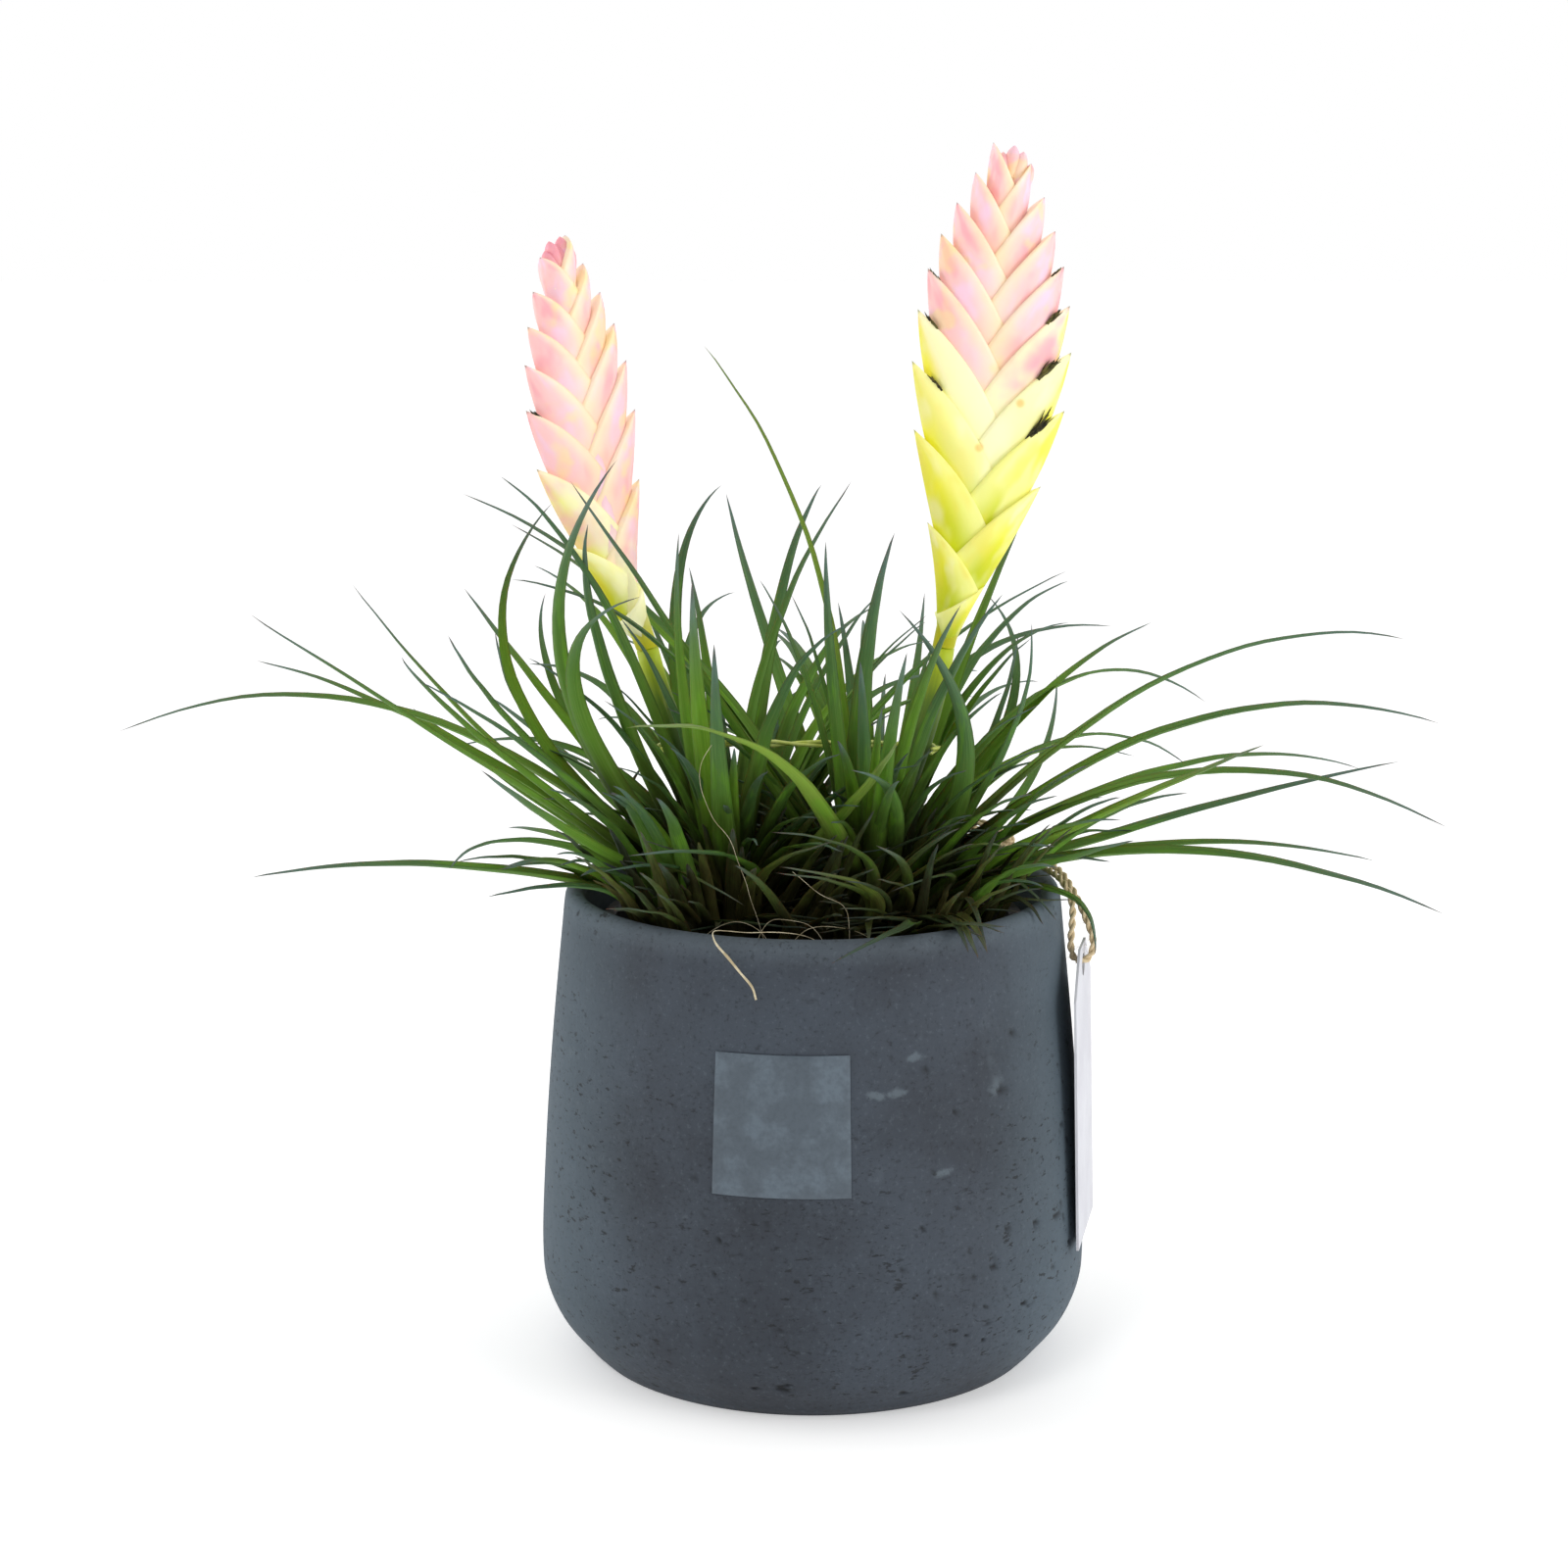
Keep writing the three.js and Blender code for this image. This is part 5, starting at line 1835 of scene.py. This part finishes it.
@dataclass
class HangTag(SubAssembly):
    """The bare card that hangs at the right side of the pot from a loop of jute twine."""

    twine_diameter: float = 1.8 * MM
    ply_radius: float = 0.48 * MM
    twine_pitch: float = 5.5 * MM
    knot_centre: tuple[float, float, float] = (46.9, 30.2, 115.4)
    knot_radius: float = 2 * MM
    fibre_radius: float = 0.035 * MM
    fibres: int = 70
    fray_radius: float = 0.09 * MM
    frayed_ends: int = 9

    def _twisted(self, skin: Skin, path: Sequence[Vector]) -> None:
        """Adds two plies twisted round a path."""
        offset = self.twine_diameter / 2 - self.ply_radius
        for ply in range(2):
            add_strand(
                skin, path, lambda share: self.ply_radius, 8,
                offset=offset, pitch=self.twine_pitch, phase=math.pi * ply,
            )

    def _knot(self) -> bpy.types.Object:
        """Makes the knot: turns of twine round each other, with a bow loop and a frayed tail."""
        skin = Skin("twine_knot_turns")
        centre = Vector(self.knot_centre) * MM
        for k, lean in enumerate((0.2, 1.3, 2.4)):
            turn = Matrix.Rotation(lean, 3, "X") @ Matrix.Rotation(0.8 * k, 3, "Z")
            reach = self.knot_radius * (0.75 + 0.12 * k)
            ring = [centre + turn @ point for point in circle(Vector(), reach, 22)]
            self._twisted(skin, [*ring, ring[0]])
        self._twisted(skin, smooth_curve(in_metres(BOW_ROUTE), 40))
        tail = smooth_curve(in_metres(TAIL_ROUTE), 24)
        self._twisted(skin, tail)
        draw = Random(4)
        for _ in range(self.frayed_ends):
            start = tail[-2]
            spread = Vector((draw.uniform(-1, 1), draw.uniform(0, 1), draw.uniform(-1, 0.2))) * 1.2 * MM
            fray = smooth_curve([start, tail[-1] + 0.4 * spread, tail[-1] + spread], 5)
            add_strand(skin, fray, lambda share: self.fray_radius * (1 - 0.6 * share), 3)
        return skin.piece()

    def _fuzz(self, path: Sequence[Vector]) -> bpy.types.Object:
        """Makes the stray fibres that stand off the twine."""
        skin, draw = Skin("twine_fuzz"), Random(9)
        line = stations(path)
        for _ in range(self.fibres):
            station = draw.choice(line[2:-6])
            angle = draw.uniform(0, TURN)
            start = station.out(angle, 0.7 * MM)
            way = (path[-1] - path[0]).orthogonal().normalized() * draw.uniform(-1, 1) * MM
            out = station.out(angle + draw.uniform(-0.6, 0.6), draw.uniform(1.3, 2.2) * MM)
            bent = start.lerp(out, 0.6) + 0.3 * way
            add_strand(skin, [start, bent, out + way], lambda share: self.fibre_radius, 3)
        return skin.piece()

    def build(self) -> None:
        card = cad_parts["hang_tag"]
        card.data.materials.clear()
        paper = PlainFinish("tag_card", "#c8c8cf", "#d1d2d8", 60, 0.75, 0.03 * MM)
        card.data.materials.append(paper.material())
        knot = self.keep(self._knot(), JuteFinish(), "twine_knot")
        path = smooth_curve(in_metres(TWINE_ROUTE), 170)
        skin = Skin("twine_loop")
        self._twisted(skin, path)
        twine = self.keep(skin.piece(), JuteFinish(), "twine")
        fuzz = self.keep(self._fuzz(path), JuteFinish())
        tuple(path[0])
        [tuple(point) for point in path]


@dataclass
class PlantTie(SubAssembly):
    """The wire tie, two thin strands twisted loosely, hooked round the outer side of each stalk."""

    height: float = 143.5 * MM
    reach: float = 4.9 * MM
    strand_radius: float = 0.44 * MM
    gap: float = 0.56 * MM
    pitch: float = 24 * MM
    hook: tuple[float, ...] = (-50, 0, 50, 90)

    def _hook(self, plant: Plant, side: int) -> list[Vector]:
        """The points round one stalk."""
        line = plant.stalk_line()
        centre = next(p for p in (bezier(line, k / 100) for k in range(101)) if p.z >= self.height)
        angles = [math.radians(degrees) for degrees in self.hook]
        return [centre + self.reach * Vector((side * math.cos(a), math.sin(a), 0)) for a in angles]

    def build(self, left: Plant, right: Plant) -> None:
        """Twists the two strands along the route."""
        path = smooth_curve([*self._hook(left, -1), *reversed(self._hook(right, 1))], 90)
        skin = Skin("tie_wires")
        for strand in range(2):
            add_strand(
                skin, path, lambda share: self.strand_radius, 10,
                offset=self.gap, pitch=self.pitch, phase=math.pi * strand,
            )
        finish = PlainFinish("tie_wire", "#c4d04e", "#e2ea8e", 180, 0.42, 0.04 * MM)
        self.keep(skin.piece(), finish, "plant_tie")


@dataclass
class DryRoots(SubAssembly):
    """A dead root that has come out over the rim, and finer ones caught among the leaves."""

    radius: float = 0.42 * MM
    fibre_radius: float = 0.055 * MM
    bend_share: float = 0.7
    seed: int = 3
    fibres: Sequence[Route] = (
        ((-19.8, -44, 156.6), (-24.5, -46, 149.5), (-24.6, -46, 143.6), (-22, -45, 136.9),
         (-18.4, -44, 132.3), (-15.4, -44, 123.1), (-12, -43, 112), (-9, -42, 101)),
        ((-4.4, -44, 124.7), (1.7, -46, 120), (7.1, -47, 117.1), (8.2, -50, 113), (7.9, -50, 104)),
        ((-14, -49, 106), (-9.9, -49, 114.2), (-6.4, -50, 115.2), (-0.5, -50, 113.6), (4, -50, 108)),
        ((-28, -40, 104), (-24, -45, 110), (-17, -47, 114), (-12, -48, 112), (-7, -47, 105)),
        ((20, -42, 104), (13, -47, 110), (6, -49, 113), (-1, -50, 113), (-6, -50, 108)),
    )

    def build(self) -> None:
        """Builds the thick root and the fibres, with the same unevenness each time."""
        noise.seed_set(self.seed)
        line = smooth_curve(in_metres(ROOT_ROUTE), 90)
        path = [point + 0.3 * MM * noise.noise_vector(point * 140) for point in line]

        def thickness(share: float) -> float:
            """Thin as far as the bend on the rim, then thick and tapering, and uneven all along."""
            past = min(1.0, max(0.0, 8 * (share - self.bend_share)))
            wobble = 1 + 0.25 * noise.noise(Vector((share * 26, 0.3, 0)))
            return self.radius * between(0.2, 1.35 - 0.75 * share, past) * wobble

        finish = PlainFinish("dry_root", "#b5a684", "#e6dcbf", 300, 0.85, 0.12 * MM, 900)
        root = Skin("root_strand")
        add_strand(root, path, thickness, 10)
        self.keep(root.piece(), finish, "dry_root")
        fine = Skin("root_fibres")
        for route in self.fibres:
            line = smooth_curve(in_metres(route), 60)
            kinked = [p + 0.35 * MM * noise.noise_vector(p * 160) for p in line]
            add_strand(fine, kinked, lambda share: self.fibre_radius * (1 - 0.3 * share), 5)
        self.keep(fine.piece(), finish)


# The studio


@dataclass
class Studio:
    """A pale floor, soft light and the camera at the photograph's angle."""

    eye_distance: float = 0.733
    eye_height: float = 0.2834
    pitch: float = 0.199
    lens: float = 73.0
    sensor: float = 36.0
    image_width: int = 1600
    axis_column: float = 829.3
    floor_size: float = 12.0
    sky_strength: float = 1.0
    front_strength: float = 0.3
    front_edge: float = -0.8
    sky_edge: float = 0.3
    floor_glow: float = 0.31
    aim: tuple[float, float, float] = (0, 0, 0.14)
    softboxes: tuple[tuple[str, tuple[float, float, float], float, float], ...] = (
        ("key_light", (-0.7, -1.1, 1.3), 0.6, 5),
        ("left_light", (-1.2, 0.1, 0.5), 0.8, 3.5),
        ("right_light", (1.1, -0.6, 0.5), 0.8, 6.5),
    )

    def place_camera(self) -> None:
        """Stands the camera in front of the pot, looking slightly down."""
        bpy.ops.object.select_all(action="DESELECT")
        bpy.ops.object.camera_add(
            location=(0, -self.eye_distance, self.eye_height), rotation=(math.pi / 2 - self.pitch, 0, 0)
        )
        camera = bpy.context.object
        camera.name = "camera"
        camera.data.lens = self.lens
        camera.data.sensor_width = self.sensor
        camera.data.shift_x = (self.image_width / 2 - self.axis_column) / self.image_width
        bpy.context.scene.camera = camera

    def _softbox(self, name: str, place: tuple[float, float, float], size: float, power: float) -> None:
        """Adds a square light that faces the middle of the object.

        Args:
            name: The light's name.
            place: Where it hangs, in metres.
            size: The length of its side, in metres.
            power: Its power in watts.
        """
        bpy.ops.object.select_all(action="DESELECT")
        bpy.ops.object.light_add(type="AREA", location=place)
        lamp = bpy.context.object
        lamp.name = name
        lamp.data.size = size
        lamp.data.energy = power
        lamp.rotation_euler = (Vector(self.aim) - Vector(place)).to_track_quat("-Z", "Y").to_euler()

    def _lay_floor(self) -> None:
        """Lays a pale floor of paper that glows a little."""
        bpy.ops.object.select_all(action="DESELECT")
        bpy.ops.mesh.primitive_plane_add(size=self.floor_size)
        floor = bpy.context.object
        floor.name = "floor"
        graph = Graph("floor_paper")
        glow = {"Emission Color": (1, 1, 1, 1), "Emission Strength": self.floor_glow}
        paper = graph.finish({"Base Color": (0.93, 0.93, 0.93, 1), "Roughness": 0.9, **glow})
        floor.data.materials.append(paper)
        floor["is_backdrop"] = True

    def _light_sky(self) -> None:
        """Puts white light all round, dimmer from the front."""
        scene = bpy.context.scene
        scene.world = bpy.data.worlds.new("studio_white")
        scene.world.use_nodes = True
        nodes, links = scene.world.node_tree.nodes, scene.world.node_tree.links
        way, split, shade = (
            nodes.new(kind) for kind in ("ShaderNodeTexCoord", "ShaderNodeSeparateXYZ", "ShaderNodeMapRange")
        )
        links.new(way.outputs["Generated"], split.inputs[0])
        links.new(split.outputs["Y"], shade.inputs["Value"])
        limits = {
            "From Min": self.front_edge,
            "From Max": self.sky_edge,
            "To Min": self.front_strength,
            "To Max": self.sky_strength,
        }
        for name, value in limits.items():
            shade.inputs[name].default_value = value
        sky = nodes["Background"]
        sky.inputs["Color"].default_value = (1, 1, 1, 1)
        links.new(shade.outputs[0], sky.inputs["Strength"])

    def build(self) -> None:
        """Lays the floor, lights the room and hangs the lights."""
        self._lay_floor()
        self._light_sky()
        bpy.context.scene.view_settings.view_transform = "Standard"
        for softbox in self.softboxes:
            self._softbox(*softbox)


def write_sizes() -> None:
    """Works out the solid model's box and the visual model's box."""
    boxes = {"cad": cad_box, "visual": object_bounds()}
    plain = {name: [list(corner) for corner in box] for name, box in boxes.items()}


def main() -> None:
    """Builds the camera, the cord, the pot and the plants, in that order."""
    logging.basicConfig(level=logging.INFO, format="%(name)s: %(message)s")
    studio = Studio()
    studio.place_camera()
    HangTag().build()
    pot = Pot()
    pot.build()
    Label(pot).build()
    GrowPot().build()
    left = Plant(
        side=Side.LEFT,
        crown=(-19 * MM, 2 * MM),
        spike=LEFT_SPIKE,
        rows=LEFT_LEAVES,
        seed=5,
        foot_bearings=(205, 395),
        front_bearings=(183, 262),
        pale_rows=(30,),
    )
    right = Plant(
        side=Side.RIGHT,
        crown=(13 * MM, -1 * MM),
        spike=RIGHT_SPIKE,
        rows=RIGHT_LEAVES,
        seed=8,
        foot_bearings=(145, 335),
        front_bearings=(282, 357),
        pale_rows=(11,),
    )
    BarkBed().build([left.crown, right.crown], left.crown_radius)
    PlantTie().build(left, right)
    DryRoots().build()
    grow_leaves(left, right)
    for plant in (left, right):
        plant.keep_leaves()
        plant.build_stem()
        plant.build_spike()
        plant.build_spent_flowers()
    studio.build()
    write_sizes()


if __name__ == "__main__":
    main()
